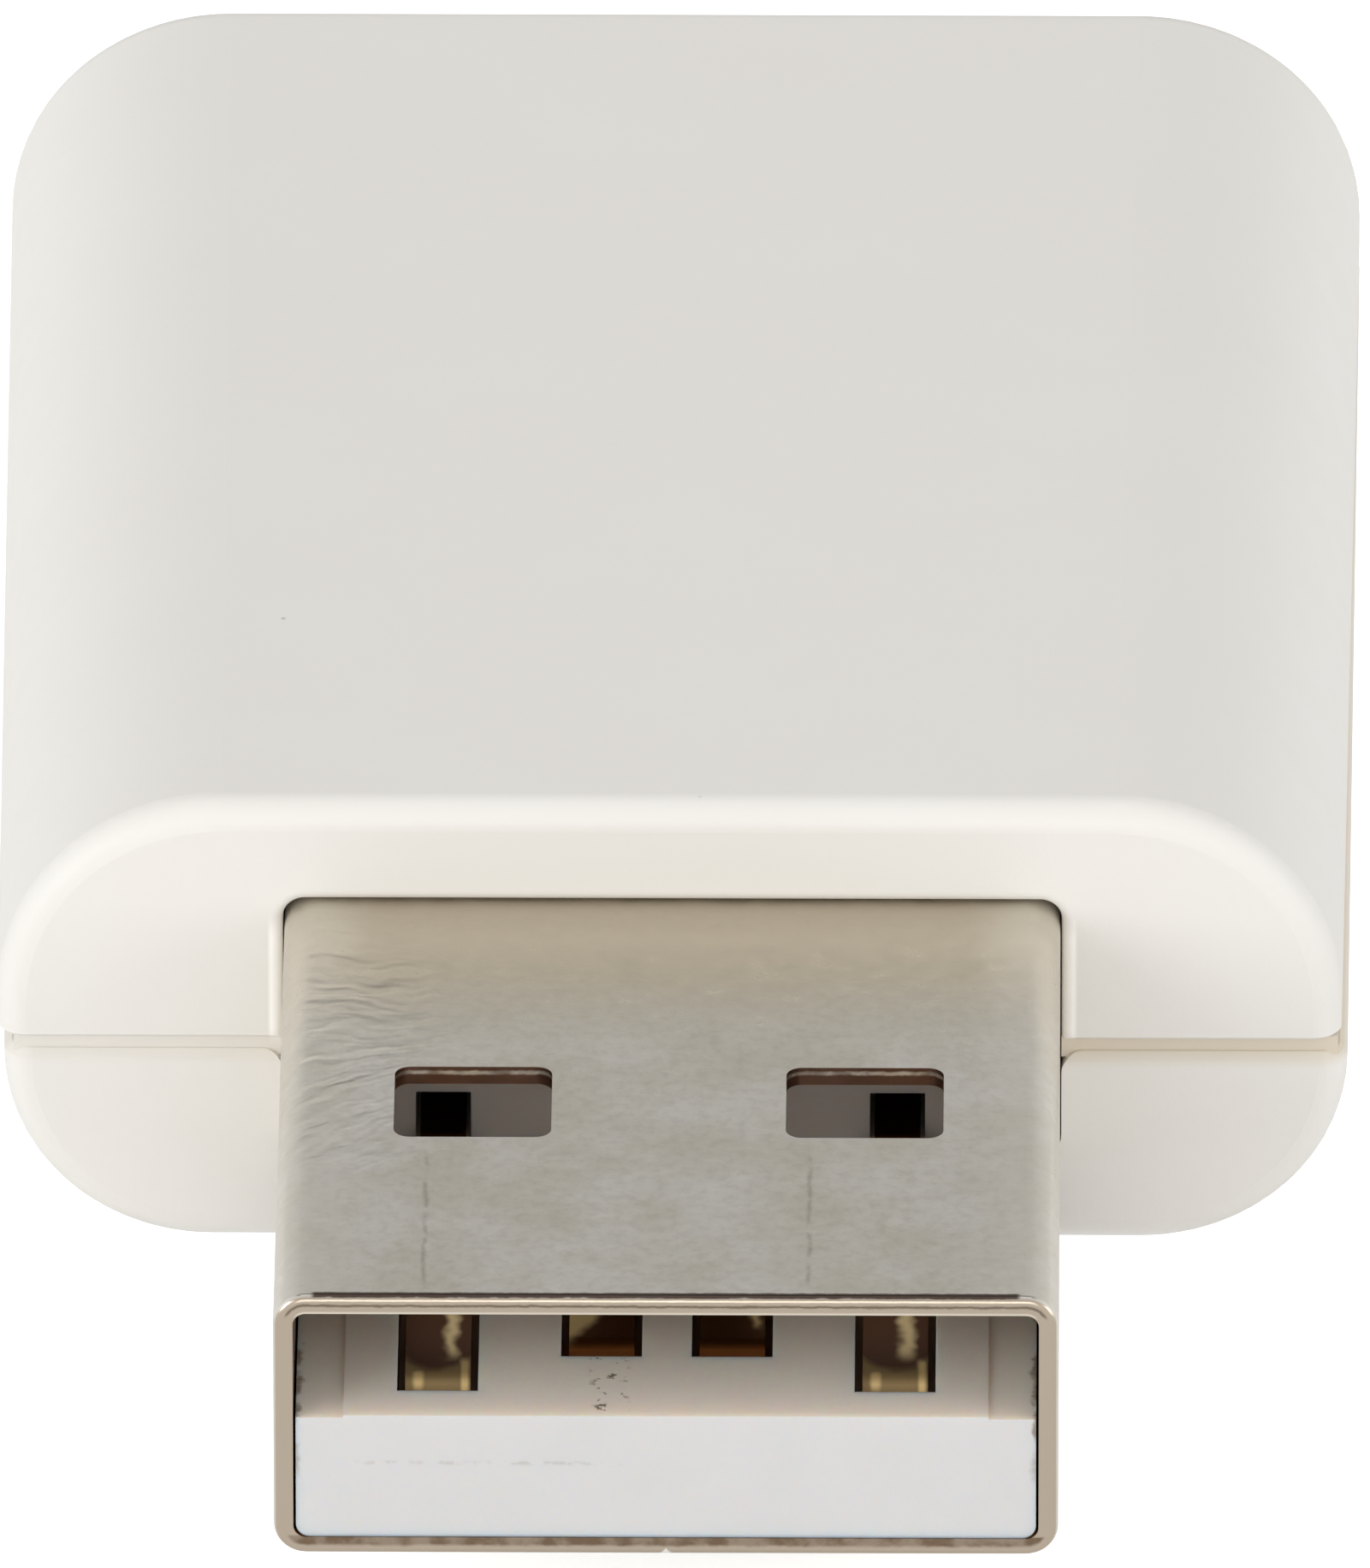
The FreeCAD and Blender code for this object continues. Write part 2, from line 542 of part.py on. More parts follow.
carrier = new_body("contact_carrier")
CARRIER_SIDE = f"({INSIDE} - Sizes.carrier_side)"
TONGUE_END = f"({MOUTH} + Sizes.carrier_back)"
BLOCK_TOP = f"({PLUG_TOP} - Sizes.plug_sheet - Sizes.carrier_side)"
add(carrier, "tongue", BACKWARDS, TONGUE_END, f"{BLOCK_END} - {TONGUE_END}",
    lambda s: draw_rectangle(s, f"-{CARRIER_SIDE}", CARRIER_SIDE, TONGUE_BASE, TONGUE_TOP))
add(carrier, "block", BACKWARDS, BLOCK_FACE, f"{BLOCK_END} - {BLOCK_FACE}",
    lambda s: draw_rectangle(s, f"-{CARRIER_SIDE}", CARRIER_SIDE, TONGUE_TOP, BLOCK_TOP))
round_edges(carrier, "long_corners", "Sizes.carrier_round",
            lambda b: runs_along_y(b) and (level(b.ZMin, b.ZMax, TONGUE_BASE)
                                           or level(b.ZMin, b.ZMax, BLOCK_TOP)))
cut(carrier, "margins", BACKWARDS, TONGUE_END, f"{BLOCK_FACE} - {TONGUE_END}",
    lambda s: draw_pair(s, f"({CARRIER_SIDE} - Sizes.margin_wide)", CARRIER_SIDE,
                        f"{TONGUE_TOP} - Sizes.margin_deep", TONGUE_TOP))
OUTER_SLOTS = "Sizes.slot_front_outer"
INNER_SLOTS = "Sizes.slot_front_inner"


def draw_slots(sketch, pitch, front):
    half = "Sizes.slot_wide / 2"
    draw_pair(sketch, f"({pitch} / 2 - {half})", f"({pitch} / 2 + {half})",
              f"{TONGUE_END} + {front}", BLOCK_FACE)


def draw_passages(sketch):
    half = "Sizes.passage_wide / 2"
    for pitch in ("Sizes.outer_pitch", "Sizes.inner_pitch"):
        draw_pair(sketch, f"({pitch} / 2 - {half})", f"({pitch} / 2 + {half})",
                  TONGUE_TOP, f"{TONGUE_TOP} + Sizes.passage_high")


SLOT_FLOOR = f"({TONGUE_TOP} - Sizes.slot_deep)"
cut(carrier, "outer_slots", UPWARDS, SLOT_FLOOR, "Sizes.slot_deep",
    lambda s: draw_slots(s, "Sizes.outer_pitch", OUTER_SLOTS))
cut(carrier, "inner_slots", UPWARDS, SLOT_FLOOR, "Sizes.slot_deep",
    lambda s: draw_slots(s, "Sizes.inner_pitch", INNER_SLOTS))
cut(carrier, "passages", BACKWARDS, BLOCK_FACE, f"{BLOCK_END} - {BLOCK_FACE}", draw_passages)

# Contacts: four formed strips, each with a dipped nose, a step and a tail on the board


def draw_contact(sketch, slot_front):
    """Side view of a formed strip, from its nose to its tail and back along its underside."""
    run = f"({TONGUE_TOP} - Sizes.contact_sunk)"
    nose = f"({run} - Sizes.contact_dip)"
    tail = f"({TONGUE_TOP} + Sizes.contact_thick)"
    start = f"({TONGUE_END} + {slot_front} + Sizes.nose_clear)"
    upper = [(start, nose), (f"{start} + Sizes.nose_long", run),
             (f"{BLOCK_FACE} - 2 * Sizes.step_long", run),
             (f"{BLOCK_FACE} - Sizes.step_long", tail), (TAIL_END, tail)]
    under = [(y, f"{z} - Sizes.contact_thick") for y, z in reversed(upper)]
    draw_outline(sketch, upper + under)


def draw_neck(sketch, middle):
    for inner, outer in (("Sizes.neck_wide / 2", "Sizes.contact_wide"),
                         ("-Sizes.contact_wide", "-Sizes.neck_wide / 2")):
        draw_rectangle(sketch, f"{middle} + {inner}", f"{middle} + {outer}",
                       f"{BLOCK_FACE} - 3 * Sizes.step_long", f"{TAIL_END} + Sizes.step_long")


def contact(label, middle, slot_front):
    body = new_body(label)
    add(body, "strip", SIDEWAYS, f"{middle} - Sizes.contact_wide / 2", "Sizes.contact_wide",
        lambda s: draw_contact(s, slot_front))
    nose = value(f"{TONGUE_END} + {slot_front} + Sizes.nose_clear")
    tail = value(TAIL_END)
    round_edges(body, "bends", "Sizes.bend_round",
                lambda b: b.YLength < TINY and b.ZLength < TINY and nose + TINY < b.YMin < tail - TINY)
    cut(body, "neck", UPWARDS, BOARD_BASE, "2 * Sizes.board_thick",
        lambda s: draw_neck(s, middle))
    return body


OUTER = "(Sizes.outer_pitch / 2)"
INNER = "(Sizes.inner_pitch / 2)"
contacts = [
    contact("power_contact", f"(-{OUTER})", OUTER_SLOTS),
    contact("data_minus_contact", f"(-{INNER})", INNER_SLOTS),
    contact("data_plus_contact", INNER, INNER_SLOTS),
    contact("ground_contact", OUTER, OUTER_SLOTS),
]

# Circuit board: a bay for the plug, slots for its legs and holes for the locating pins

board = new_body("circuit_board")
add(board, "plate", UPWARDS, BOARD_BASE, "Sizes.board_thick",
    lambda s: draw_rectangle(s, f"-{BOARD_SIDE}", BOARD_SIDE, BOARD_FRONT, BOARD_BACK))
round_edges(board, "corners", "Sizes.board_corner",
            lambda b: b.XLength < TINY and b.YLength < TINY)
cut(board, "bay", UPWARDS, BOARD_BASE, "Sizes.board_thick",
    lambda s: draw_rectangle(s, f"-({SIDE} + Sizes.bay_clear)", f"{SIDE} + Sizes.bay_clear",
                             "0", BAY_BACK))
cut(board, "leg_slots", UPWARDS, BOARD_BASE, "Sizes.board_thick",
    lambda s: draw_legs(s, PIN_INNER, LEG_OUTER, "Sizes.leg_clear"))
cut(board, "pin_holes", UPWARDS, BOARD_BASE, "Sizes.board_thick",
    lambda s: draw_posts(s, "Sizes.pin_thick + 2 * Sizes.pin_clear", POST_BACK))

# Solder on the contact tails and on the plug's legs


def draw_tail_solder(sketch):
    draw_outline(sketch, [(TAIL_END, BOARD_TOP), (f"{TAIL_END} + Sizes.solder_out", BOARD_TOP),
                          (TAIL_END, f"{BOARD_TOP} + Sizes.solder_high")])


contact_solder = new_body("contact_solder")
contact_solder.AllowCompound = True
for number, middle in enumerate((f"(-{OUTER})", f"(-{INNER})", INNER, OUTER)):
    add(contact_solder, f"joint{number}", SIDEWAYS, f"{middle} - Sizes.neck_wide / 2",
        "Sizes.neck_wide", draw_tail_solder)


def draw_leg_solder(sketch):
    """Fillets at both faces of each leg, under the board."""
    foot = f"({BOARD_TOP} - Sizes.leg_drop)"
    for side in (-1, 1):
        for face, out in ((LEG_OUTER, 1), (PIN_INNER, -1)):
            edge = f"{side} * ({face} + {out} * Sizes.solder_out)"
            draw_outline(sketch, [(f"{side} * {face}", BOARD_BASE), (edge, BOARD_BASE),
                                  (f"{side} * {face}", foot)])


leg_solder = new_body("leg_solder")
leg_solder.AllowCompound = True
leg_joint = add(leg_solder, "joint", BACKWARDS, "Sizes.leg_front", "Sizes.leg_wide",
                draw_leg_solder)
repeat(leg_solder, leg_joint, "joints", "Y_Axis", "Sizes.leg_pitch", 2)

# Radio module: its own small board with notched edges, chip, crystal, can and antenna

JOINTS = 6
JOINT_START = f"({CAN_FRONT} + Sizes.joint_long / 2)"
JOINT_RUN = f"({CAN_BACK} - {CAN_FRONT} - Sizes.joint_long)"


def draw_notches(sketch):
    for side in ("", "-"):
        draw_circle(sketch, f"{side}{MODULE_SIDE}", JOINT_START, "Sizes.notch_wide")


module_board = new_body("radio_module_board")
add(module_board, "plate", UPWARDS, BOARD_TOP, "Sizes.module_thick",
    lambda s: draw_rectangle(s, f"-{MODULE_SIDE}", MODULE_SIDE, MODULE_FRONT, MODULE_BACK))
notch = cut(module_board, "notch", UPWARDS, BOARD_TOP, "Sizes.module_thick", draw_notches)
repeat(module_board, notch, "notches", "Y_Axis", JOINT_RUN, JOINTS)


def draw_module_joint(sketch):
    for side in (1, -1):
        edge = f"{side} * {MODULE_SIDE}"
        out = f"{side} * ({MODULE_SIDE} + Sizes.joint_out)"
        draw_outline(sketch, [(edge, BOARD_TOP), (out, BOARD_TOP),
                              (edge, f"{BOARD_TOP} + Sizes.joint_high")])


module_solder = new_body("module_solder")
module_solder.AllowCompound = True
module_joint = add(module_solder, "joint", BACKWARDS, CAN_FRONT, "Sizes.joint_long",
                   draw_module_joint)
repeat(module_solder, module_joint, "joints", "Y_Axis", JOINT_RUN, JOINTS)


def draw_can(sketch, inset):
    draw_rectangle(sketch, f"-({CAN_SIDE} - {inset})", f"{CAN_SIDE} - {inset}",
                   f"{CAN_FRONT} + {inset}", f"{CAN_BACK} - {inset}")


shield_can = new_body("shield_can")
add(shield_can, "block", UPWARDS, MODULE_TOP, f"{CAN_TOP} - {MODULE_TOP}",
    lambda s: draw_can(s, "0"))
round_edges(shield_can, "bends", "Sizes.can_round",
            lambda b: (b.XLength < TINY and b.YLength < TINY) or level(b.ZMin, b.ZMax, CAN_TOP))
cut(shield_can, "bay", UPWARDS, MODULE_TOP, f"{CAN_TOP} - Sizes.can_sheet - {MODULE_TOP}",
    lambda s: draw_can(s, "Sizes.can_sheet"))

# Under the can: chip and crystal side by side, with equal spaces between them and the walls
CAN_ROOM = f"({CAN_SIDE} - Sizes.can_sheet)"
SPACE = f"((2 * {CAN_ROOM} - Sizes.chip_side - Sizes.crystal_wide) / 3)"
CHIP_X = f"({SPACE} + Sizes.chip_side / 2 - {CAN_ROOM})"
CHIP_Y = f"(({CAN_FRONT} + {CAN_BACK}) / 2)"
radio_chip = new_body("radio_chip")
add(radio_chip, "case", UPWARDS, MODULE_TOP, "Sizes.chip_high",
    lambda s: draw_rectangle(s, f"{CHIP_X} - Sizes.chip_side / 2", f"{CHIP_X} + Sizes.chip_side / 2",
                             f"{CHIP_Y} - Sizes.chip_side / 2", f"{CHIP_Y} + Sizes.chip_side / 2"))
MARK_INSET = "(Sizes.chip_side / 2 - Sizes.chip_mark)"
cut(radio_chip, "dimple", UPWARDS, f"{MODULE_TOP} + Sizes.chip_high - Sizes.mark_deep",
    "Sizes.mark_deep", lambda s: draw_circle(s, f"{CHIP_X} - {MARK_INSET}",
                                             f"{CHIP_Y} - {MARK_INSET}", "Sizes.chip_mark"))

CRYSTAL_X = f"({CAN_ROOM} - {SPACE} - Sizes.crystal_wide / 2)"
crystal = new_body("module_crystal")


def draw_crystal(sketch, inset):
    half_wide = f"(Sizes.crystal_wide / 2 - {inset})"
    half_long = f"(Sizes.crystal_long / 2 - {inset})"
    draw_rectangle(sketch, f"{CRYSTAL_X} - {half_wide}", f"{CRYSTAL_X} + {half_wide}",
                   f"{CHIP_Y} - {half_long}", f"{CHIP_Y} + {half_long}")


add(crystal, "base", UPWARDS, MODULE_TOP, "Sizes.crystal_high / 2",
    lambda s: draw_crystal(s, "0"))
add(crystal, "lid", UPWARDS, f"{MODULE_TOP} + Sizes.crystal_high / 2", "Sizes.crystal_high / 2",
    lambda s: draw_crystal(s, "Sizes.crystal_step"))

TURNS = 9
TURN_PITCH = f"((2 * {CAN_SIDE} - Sizes.trace_wide) / {TURNS - 1})"
antenna = new_body("antenna_track")


def draw_runs(sketch):
    """Straight runs of the meander; the first one reaches on to the can as its feed."""
    for turn in range(TURNS):
        middle = f"({turn - (TURNS - 1) / 2} * {TURN_PITCH})"
        front = f"{CAN_BACK} + Sizes.trace_edge" if turn == 0 else TRACK_FRONT
        draw_rectangle(sketch, f"{middle} - Sizes.trace_wide / 2", f"{middle} + Sizes.trace_wide / 2",
                       front, TRACK_BACK)


def draw_links(sketch):
    """Links between neighbouring runs, at the back and the front by turns."""
    for turn in range(TURNS - 1):
        left = f"({turn - (TURNS - 1) / 2} * {TURN_PITCH} + Sizes.trace_wide / 2)"
        right = f"({left} + {TURN_PITCH} - Sizes.trace_wide)"
        if turn % 2:
            draw_rectangle(sketch, left, right, TRACK_FRONT, f"{TRACK_FRONT} + Sizes.trace_wide")
        else:
            draw_rectangle(sketch, left, right, f"{TRACK_BACK} - Sizes.trace_wide", TRACK_BACK)


antenna.AllowCompound = True
add(antenna, "runs", UPWARDS, MODULE_TOP, "Sizes.trace_thick", draw_runs)
add(antenna, "links", UPWARDS, MODULE_TOP, "Sizes.trace_thick", draw_links)

# Small chip parts: a body with a metal cap on each end, in groups that lie on one face


def chip_parts(label, kind, places, base):
    """A group of like chip parts, each lying along Y with its middle at one of the places."""
    long, wide, high = (f"Sizes.{kind}_{side}" for side in ("long", "wide", "high"))

    def draw(sketch, half_wide, ends):
        for x, y in places:
            for start, end in ends:
                draw_rectangle(sketch, f"{x} - {half_wide}", f"{x} + {half_wide}",
                               f"{y} + ({start}) * {long} / 2", f"{y} + ({end}) * {long} / 2")

    body = new_body(label)
    body.AllowCompound = True
    cap = "1 - 2 * Sizes.cap_end"
    add(body, "caps", UPWARDS, base, high,
        lambda s: draw(s, f"{wide} / 2", (("-1", f"-({cap})"), (cap, "1"))))
    add(body, "cores", UPWARDS, f"{base} + Sizes.cap_skin", f"{high} - 2 * Sizes.cap_skin",
        lambda s: draw(s, f"({wide} / 2 - Sizes.cap_skin)", ((f"-({cap})", cap),)))
    return body


def under_board(kind):
    """Base level of a chip part that hangs from the board's underside."""
    return f"({BOARD_BASE} - Sizes.{kind}_high)"


BIT_OUT = "(Sizes.chip_side / 2 - Sizes.bit_long / 2)"
SIDES = (-1, 1)
MODULE_CAPS = [(f"({CRYSTAL_X} + {step} * Sizes.bit_step)", f"({CHIP_Y} + {side} * {BIT_OUT})")
               for step in (-1, 0, 1) for side in SIDES]
module_capacitors = chip_parts("module_capacitors", "bit", MODULE_CAPS, MODULE_TOP)
ROW = f"(({MODULE_FRONT} + {TAIL_END} + Sizes.solder_out) / 2)"
ROW_SIDE = f"({POST_SIDE} / 2)"
supply_capacitors = chip_parts(
    "supply_capacitors", "cap", [(f"({side} * {ROW_SIDE})", ROW) for side in SIDES],
    under_board("cap"))
data_resistors = chip_parts(
    "data_resistors", "bit",
    [(f"({side} * {INNER})", f"({BAY_BACK} + Sizes.bit_long)") for side in SIDES],
    under_board("bit"))
ferrite_bead = chip_parts("ferrite_bead", "bead", [("0", ROW)], BOARD_TOP)

# Moulded parts with formed leads: the surge arrester and the voltage regulator


def draw_leads(sketch, senses):
    """Side view of one lead on one or both sides of a moulded case."""
    mid_level = f"({BOARD_TOP} + Sizes.case_stand + Sizes.case_high / 2)"
    for sense in senses:
        case = f"{ROW} + {sense} * (Sizes.case_long / 2)"
        knee = f"{ROW} + {sense} * (Sizes.case_long / 2 + Sizes.lead_reach - Sizes.lead_foot)"
        toe = f"{ROW} + {sense} * (Sizes.case_long / 2 + Sizes.lead_reach)"
        inner_knee = f"{knee} - {sense} * Sizes.lead_thick"
        draw_outline(sketch, [
            (case, mid_level), (case, f"{mid_level} + Sizes.lead_thick"),
            (knee, f"{mid_level} + Sizes.lead_thick"),
            (knee, f"{BOARD_TOP} + Sizes.lead_thick"),
            (toe, f"{BOARD_TOP} + Sizes.lead_thick"), (toe, BOARD_TOP),
            (inner_knee, BOARD_TOP), (inner_knee, mid_level)])


def leaded_case(label, middle, leads):
    """A moulded case on the board with leads at the given steps along each long side."""
    body = new_body(label)
    half_wide = "Sizes.case_wide / 2"
    half_long = "Sizes.case_long / 2"
    add(body, "case", UPWARDS, f"{BOARD_TOP} + Sizes.case_stand", "Sizes.case_high",
        lambda s: draw_rectangle(s, f"{middle} - {half_wide}", f"{middle} + {half_wide}",
                                 f"{ROW} - {half_long}", f"{ROW} + {half_long}"))
    for step, senses in leads:
        start = f"{middle} + {step} * Sizes.lead_pitch - Sizes.lead_wide / 2"
        add(body, f"lead{step + 1}", SIDEWAYS, start, "Sizes.lead_wide",
            lambda s: draw_leads(s, senses))
    return body


surge_arrester = leaded_case("surge_arrester", f"(-{ROW_SIDE})",
                             ((-1, SIDES), (0, SIDES), (1, SIDES)))
regulator = leaded_case("voltage_regulator", ROW_SIDE, ((-1, SIDES), (0, (-1,)), (1, SIDES)))

pieces = [
    lower_shell, upper_shell, plug_shell, carrier, *contacts, board, contact_solder, leg_solder,
    module_board, module_solder, shield_can, radio_chip, crystal, antenna, module_capacitors,
    supply_capacitors, data_resistors, ferrite_bead, surge_arrester, regulator,
]

doc.recompute()
for item in doc.Objects:
    if {"Invalid", "Error"} & set(item.State):
        raise RuntimeError(f"{item.Name} failed: {item.State}")
for piece in pieces:
    if piece.Shape.isNull() or not piece.Shape.isValid():
        raise RuntimeError(f"{piece.Label} has no sound shape")

os.makedirs("parts", exist_ok=True)
for piece in pieces:
    piece.Shape.exportStep(os.path.join("parts", f"{piece.Label}.step"))
    box = piece.Shape.BoundBox
    print(f"{piece.Label}: {len(piece.Shape.Solids)} solids, {piece.Shape.Volume:.2f} mm3, "
          f"X {box.XMin:.2f}..{box.XMax:.2f} Y {box.YMin:.2f}..{box.YMax:.2f} "
          f"Z {box.ZMin:.2f}..{box.ZMax:.2f}")
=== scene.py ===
import math

import bpy
from mathutils import Matrix, Vector

# Looks of a small white plug-in radio repeater with a folded metal plug.
# Metres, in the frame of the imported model: X to the right, +Y to the back, Z up.

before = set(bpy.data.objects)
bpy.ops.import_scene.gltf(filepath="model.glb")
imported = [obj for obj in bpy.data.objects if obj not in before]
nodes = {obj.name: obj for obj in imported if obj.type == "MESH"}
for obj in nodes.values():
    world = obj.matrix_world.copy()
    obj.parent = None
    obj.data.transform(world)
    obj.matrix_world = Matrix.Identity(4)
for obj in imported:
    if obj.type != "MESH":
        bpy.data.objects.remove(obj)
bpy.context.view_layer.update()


def linear(red, green, blue):
    """The scene colour of a colour given in the 0 to 255 steps of a picture."""
    def channel(level):
        share = level / 255
        return share / 12.92 if share <= 0.04045 else ((share + 0.055) / 1.055) ** 2.4
    return (channel(red), channel(green), channel(blue), 1)


MM = 0.001

# Camera, fitted to the photograph's edges; its offsets are in the photograph's pixels
IMAGE_HIGH = 1833
TARGET = Vector((0, -0.7, 3.9)) * MM
DISTANCE = 900 * MM
YAW = math.radians(0.483)
ELEVATION = math.radians(28.33)
ROLL = math.radians(-0.06)
PIXELS_PER_MM = 75.05
OFFSET_RIGHT = 10.81
OFFSET_UP = 50.16
SENSOR = 36.0

# Stage: rays shorter than FLOOR_NEAR, which come from the underside, go through the floor
FLOOR_DROP = 0.02 * MM
FLOOR_SIZE = 4.0
FLOOR_COLOUR = (0.95, 0.95, 0.95, 1)
FLOOR_GLOW = 0.62
FLOOR_SHEEN = 0.06
FLOOR_NEAR = (0.6 * MM, 0.3 * MM)

# Room light: its plain level, what the sides and the front add, and the darker gap
ROOM_COLOUR = (1, 0.995, 0.985, 1)
ROOM_LEVEL = 0.74
ROOM_SIDES = 0.36
ROOM_FRONT = 0.10
ROOM_GAP = 0.52
GAP_HEIGHT = math.radians(64)
GAP_EDGES = (0.86, 0.97)

# Lamps: place and size in metres, brightness
LAMPS = {
    "key_lamp": ((-0.8, -0.65, 0.34), 0.55, 3.4),
    "fill_lamp": ((0.9, -0.5, 0.2), 0.55, 1.75),
    "front_lamp": ((0, -1.0, 0.22), 0.5, 1.6),
    "top_lamp": ((0, 0.3, 1.1), 0.6, 0.6),
}

# All places below are in millimetres. A ramp is where a mask starts and where it is full; a band
# is where it starts, where it ends and how soft both ends are. "aside" is the distance from the
# middle plane.

# Housing: the rounding beside the plug with a painted highlight, and the groove between the
# shells with painted shade in it and below it
OPENING_HIGHLIGHT = {"aside": (6.0, 6.24, 0.04), "y": (-7.3, -6.9, 0.05), "z": (3.6, 5.6, 0.25)}
GROOVE_BAND = (3.3, 3.63, 0.02)
GROOVE_FACE_Y = (-6.99, -6.97)
GROOVE_SHADE_RISE_Z = (3.1, 3.37)
GROOVE_SHADE_TOP_Z = (3.63, 3.6)
GROOVE_SHADE_X = (-9.0, 9.0)

# Carrier: its top with painted light, deposits on it, the brown along its edges, a line on its
# face, and painted shade in the slots and deeper in the mouth
TONGUE_TOP_Z = (3.78, 3.84)
FACING_UP = (0.4, 0.6)
EDGE_BROWN_ASIDE = (5.76, 5.86)
EDGE_BROWN_Z = (2.4, 3.6)
DEPOSIT = {"x": (-1.12, -0.62, 0.12), "y": (-19.55, -17.65, 0.1)}
FACE_LINE = {"x": (-4.7, -0.6, 0.3), "z": (3.05, 3.11, 0.03)}
SLOT_Y = (-18.96, -18.9)
SLOT_Z = (3.86, 3.82)
SLOT_ASIDE = (4.3, 4.2)
DEEP_SHADE_Y = (-18.0, -15.6)

# Contacts: where they lie, and the bands, across and along them, of painted highlights and
# reflections
OUTER_CONTACT_X = 3.5
BETWEEN_CONTACTS_X = 2.0
HIGHLIGHT_STREAK = ((0.06, 0.26, 0.09), (-17.7, -13.4, 0.25))
LEFT_GLINT = ((-0.4, -0.2, 0.08), (-18.5, -18.15, 0.12))
RIGHT_GLINT = ((0.34, 0.48, 0.05), (-18.6, -17.8, 0.12))
RIGHT_PATCH = ((1.27, 1.4, 0.07), (-16.75, -16.2, 0.15))
LEFT_PATCH_X = (-0.95, -1.15)
LEFT_PATCH_Y = (-17.35, -17.0)
PATCH_SLANT_Y = (-16.2, -17.2)
NOSE_Y = (-18.0, -18.3)
NOSE_CURVE = 1.6

# Plug: its outer size, the windows, the lips of its mouth, the marks on its top, and where
# painted reflection and highlight lie on it. The notch is a ramp along aside + z, which makes it
# a V, and is painted near white.
MOUTH_Y = -19.7
PLUG_MIDDLE = 3.74
PLUG_HALF_WIDE = 6.0
PLUG_HALF_HIGH = 2.25
PLUG_BEND = 0.5
SEAM_REACH = 0.015
WINDOW_Y = (-14.7, -12.25, 0.02)
WINDOW_ASIDE = (1.7, 4.32, 0.02)
TOP_LIP_Z = (5.6, 5.7)
LOW_LIP_Z = (1.84, 1.8)
NOTCH = (1.64, 1.57)
TOP_FACE_Z = (5.95, 5.96)
TOP_FACE_ASIDE = (5.45, 5.35)
HOUSING_REFLECTION_Y = (-11.6, -8.6)
AT_BODY_Y = (-8.4, -7.4)
BEND_HIGHLIGHT_ASIDE = (4.4, 5.6)
DRAWN_LINES_X = (-3.71, 2.18)
DRAWN_LINES_Y = (-19.2, -15.2, 0.3)
RIPPLES_X = (-3.2, -4.6)
RIPPLES_Y = (-15.3, -7.6, 1.2)
RIPPLE_SLANT_Y = (-9.5, -15.5)
RIPPLE_SLANT_X = 4.9

# Depths under the plug's outer skin: the sheared faces, their bands of painted highlight and
# shade, and the inner side with painted shade
SHEARED = (-0.3, -0.004, 0.003)
CUT_HIGHLIGHT_DEPTH = (-0.13, -0.07, 0.02)
DARK_CUT = (-0.18, -0.14, 0.02)
LOW_CUT = (-0.13, -0.2)
INNER_RIM = (-0.25, -0.28)
INNER_SIDE = (-0.28, -0.29)

# Colours
HOUSING_WHITE = linear(229, 227, 223)
HOUSING_CLOUD = linear(227, 224, 219)
HOUSING_RIM_HIGHLIGHT = linear(250, 249, 247)
HOUSING_GROOVE_SHADE = linear(214, 203, 184)
HOUSING_SPECK = linear(120, 112, 100)
CARRIER_WHITE = linear(209, 208, 209)
CARRIER_CLOUD = linear(204, 203, 202)
CARRIER_TOP_LIGHT = linear(246, 238, 228)
CARRIER_BROWN = linear(112, 86, 62)
CARRIER_SLOT_SHADE = linear(206, 140, 84)
CARRIER_DEEP_SHADE = linear(176, 152, 124)
GOLD_HIGHLIGHT = linear(255, 232, 176)
GOLD_INNER_SHADE = linear(128, 84, 48)
GOLD_OUTER_SHADE = linear(90, 54, 25)
SHEET_CLOUD = linear(205, 200, 188)
SHEET_LIGHT = linear(215, 212, 205)
SHEET_GRAIN = linear(160, 151, 136)
SHEET_HOUSING_REFLECTION = linear(196, 187, 170)
SHEET_BEND_HIGHLIGHT = linear(226, 221, 211)
SHEET_LINE = linear(116, 106, 92)
SHEET_INSIDE_SHADE = linear(150, 130, 106)
CUT_SHADE = linear(128, 98, 82)
CUT_HIGHLIGHT = linear(250, 244, 232)
LIP_BASE = linear(188, 174, 157)
LIP_SHADE = linear(124, 110, 95)
LIP_LOW_BROWN = linear(122, 102, 83)
LIP_RIM_HIGHLIGHT = linear(222, 212, 196)
NOTCH_PAINTED_LIGHT = linear(255, 253, 249)
MOUTH_DARK_REFLECTION = linear(78, 62, 54)


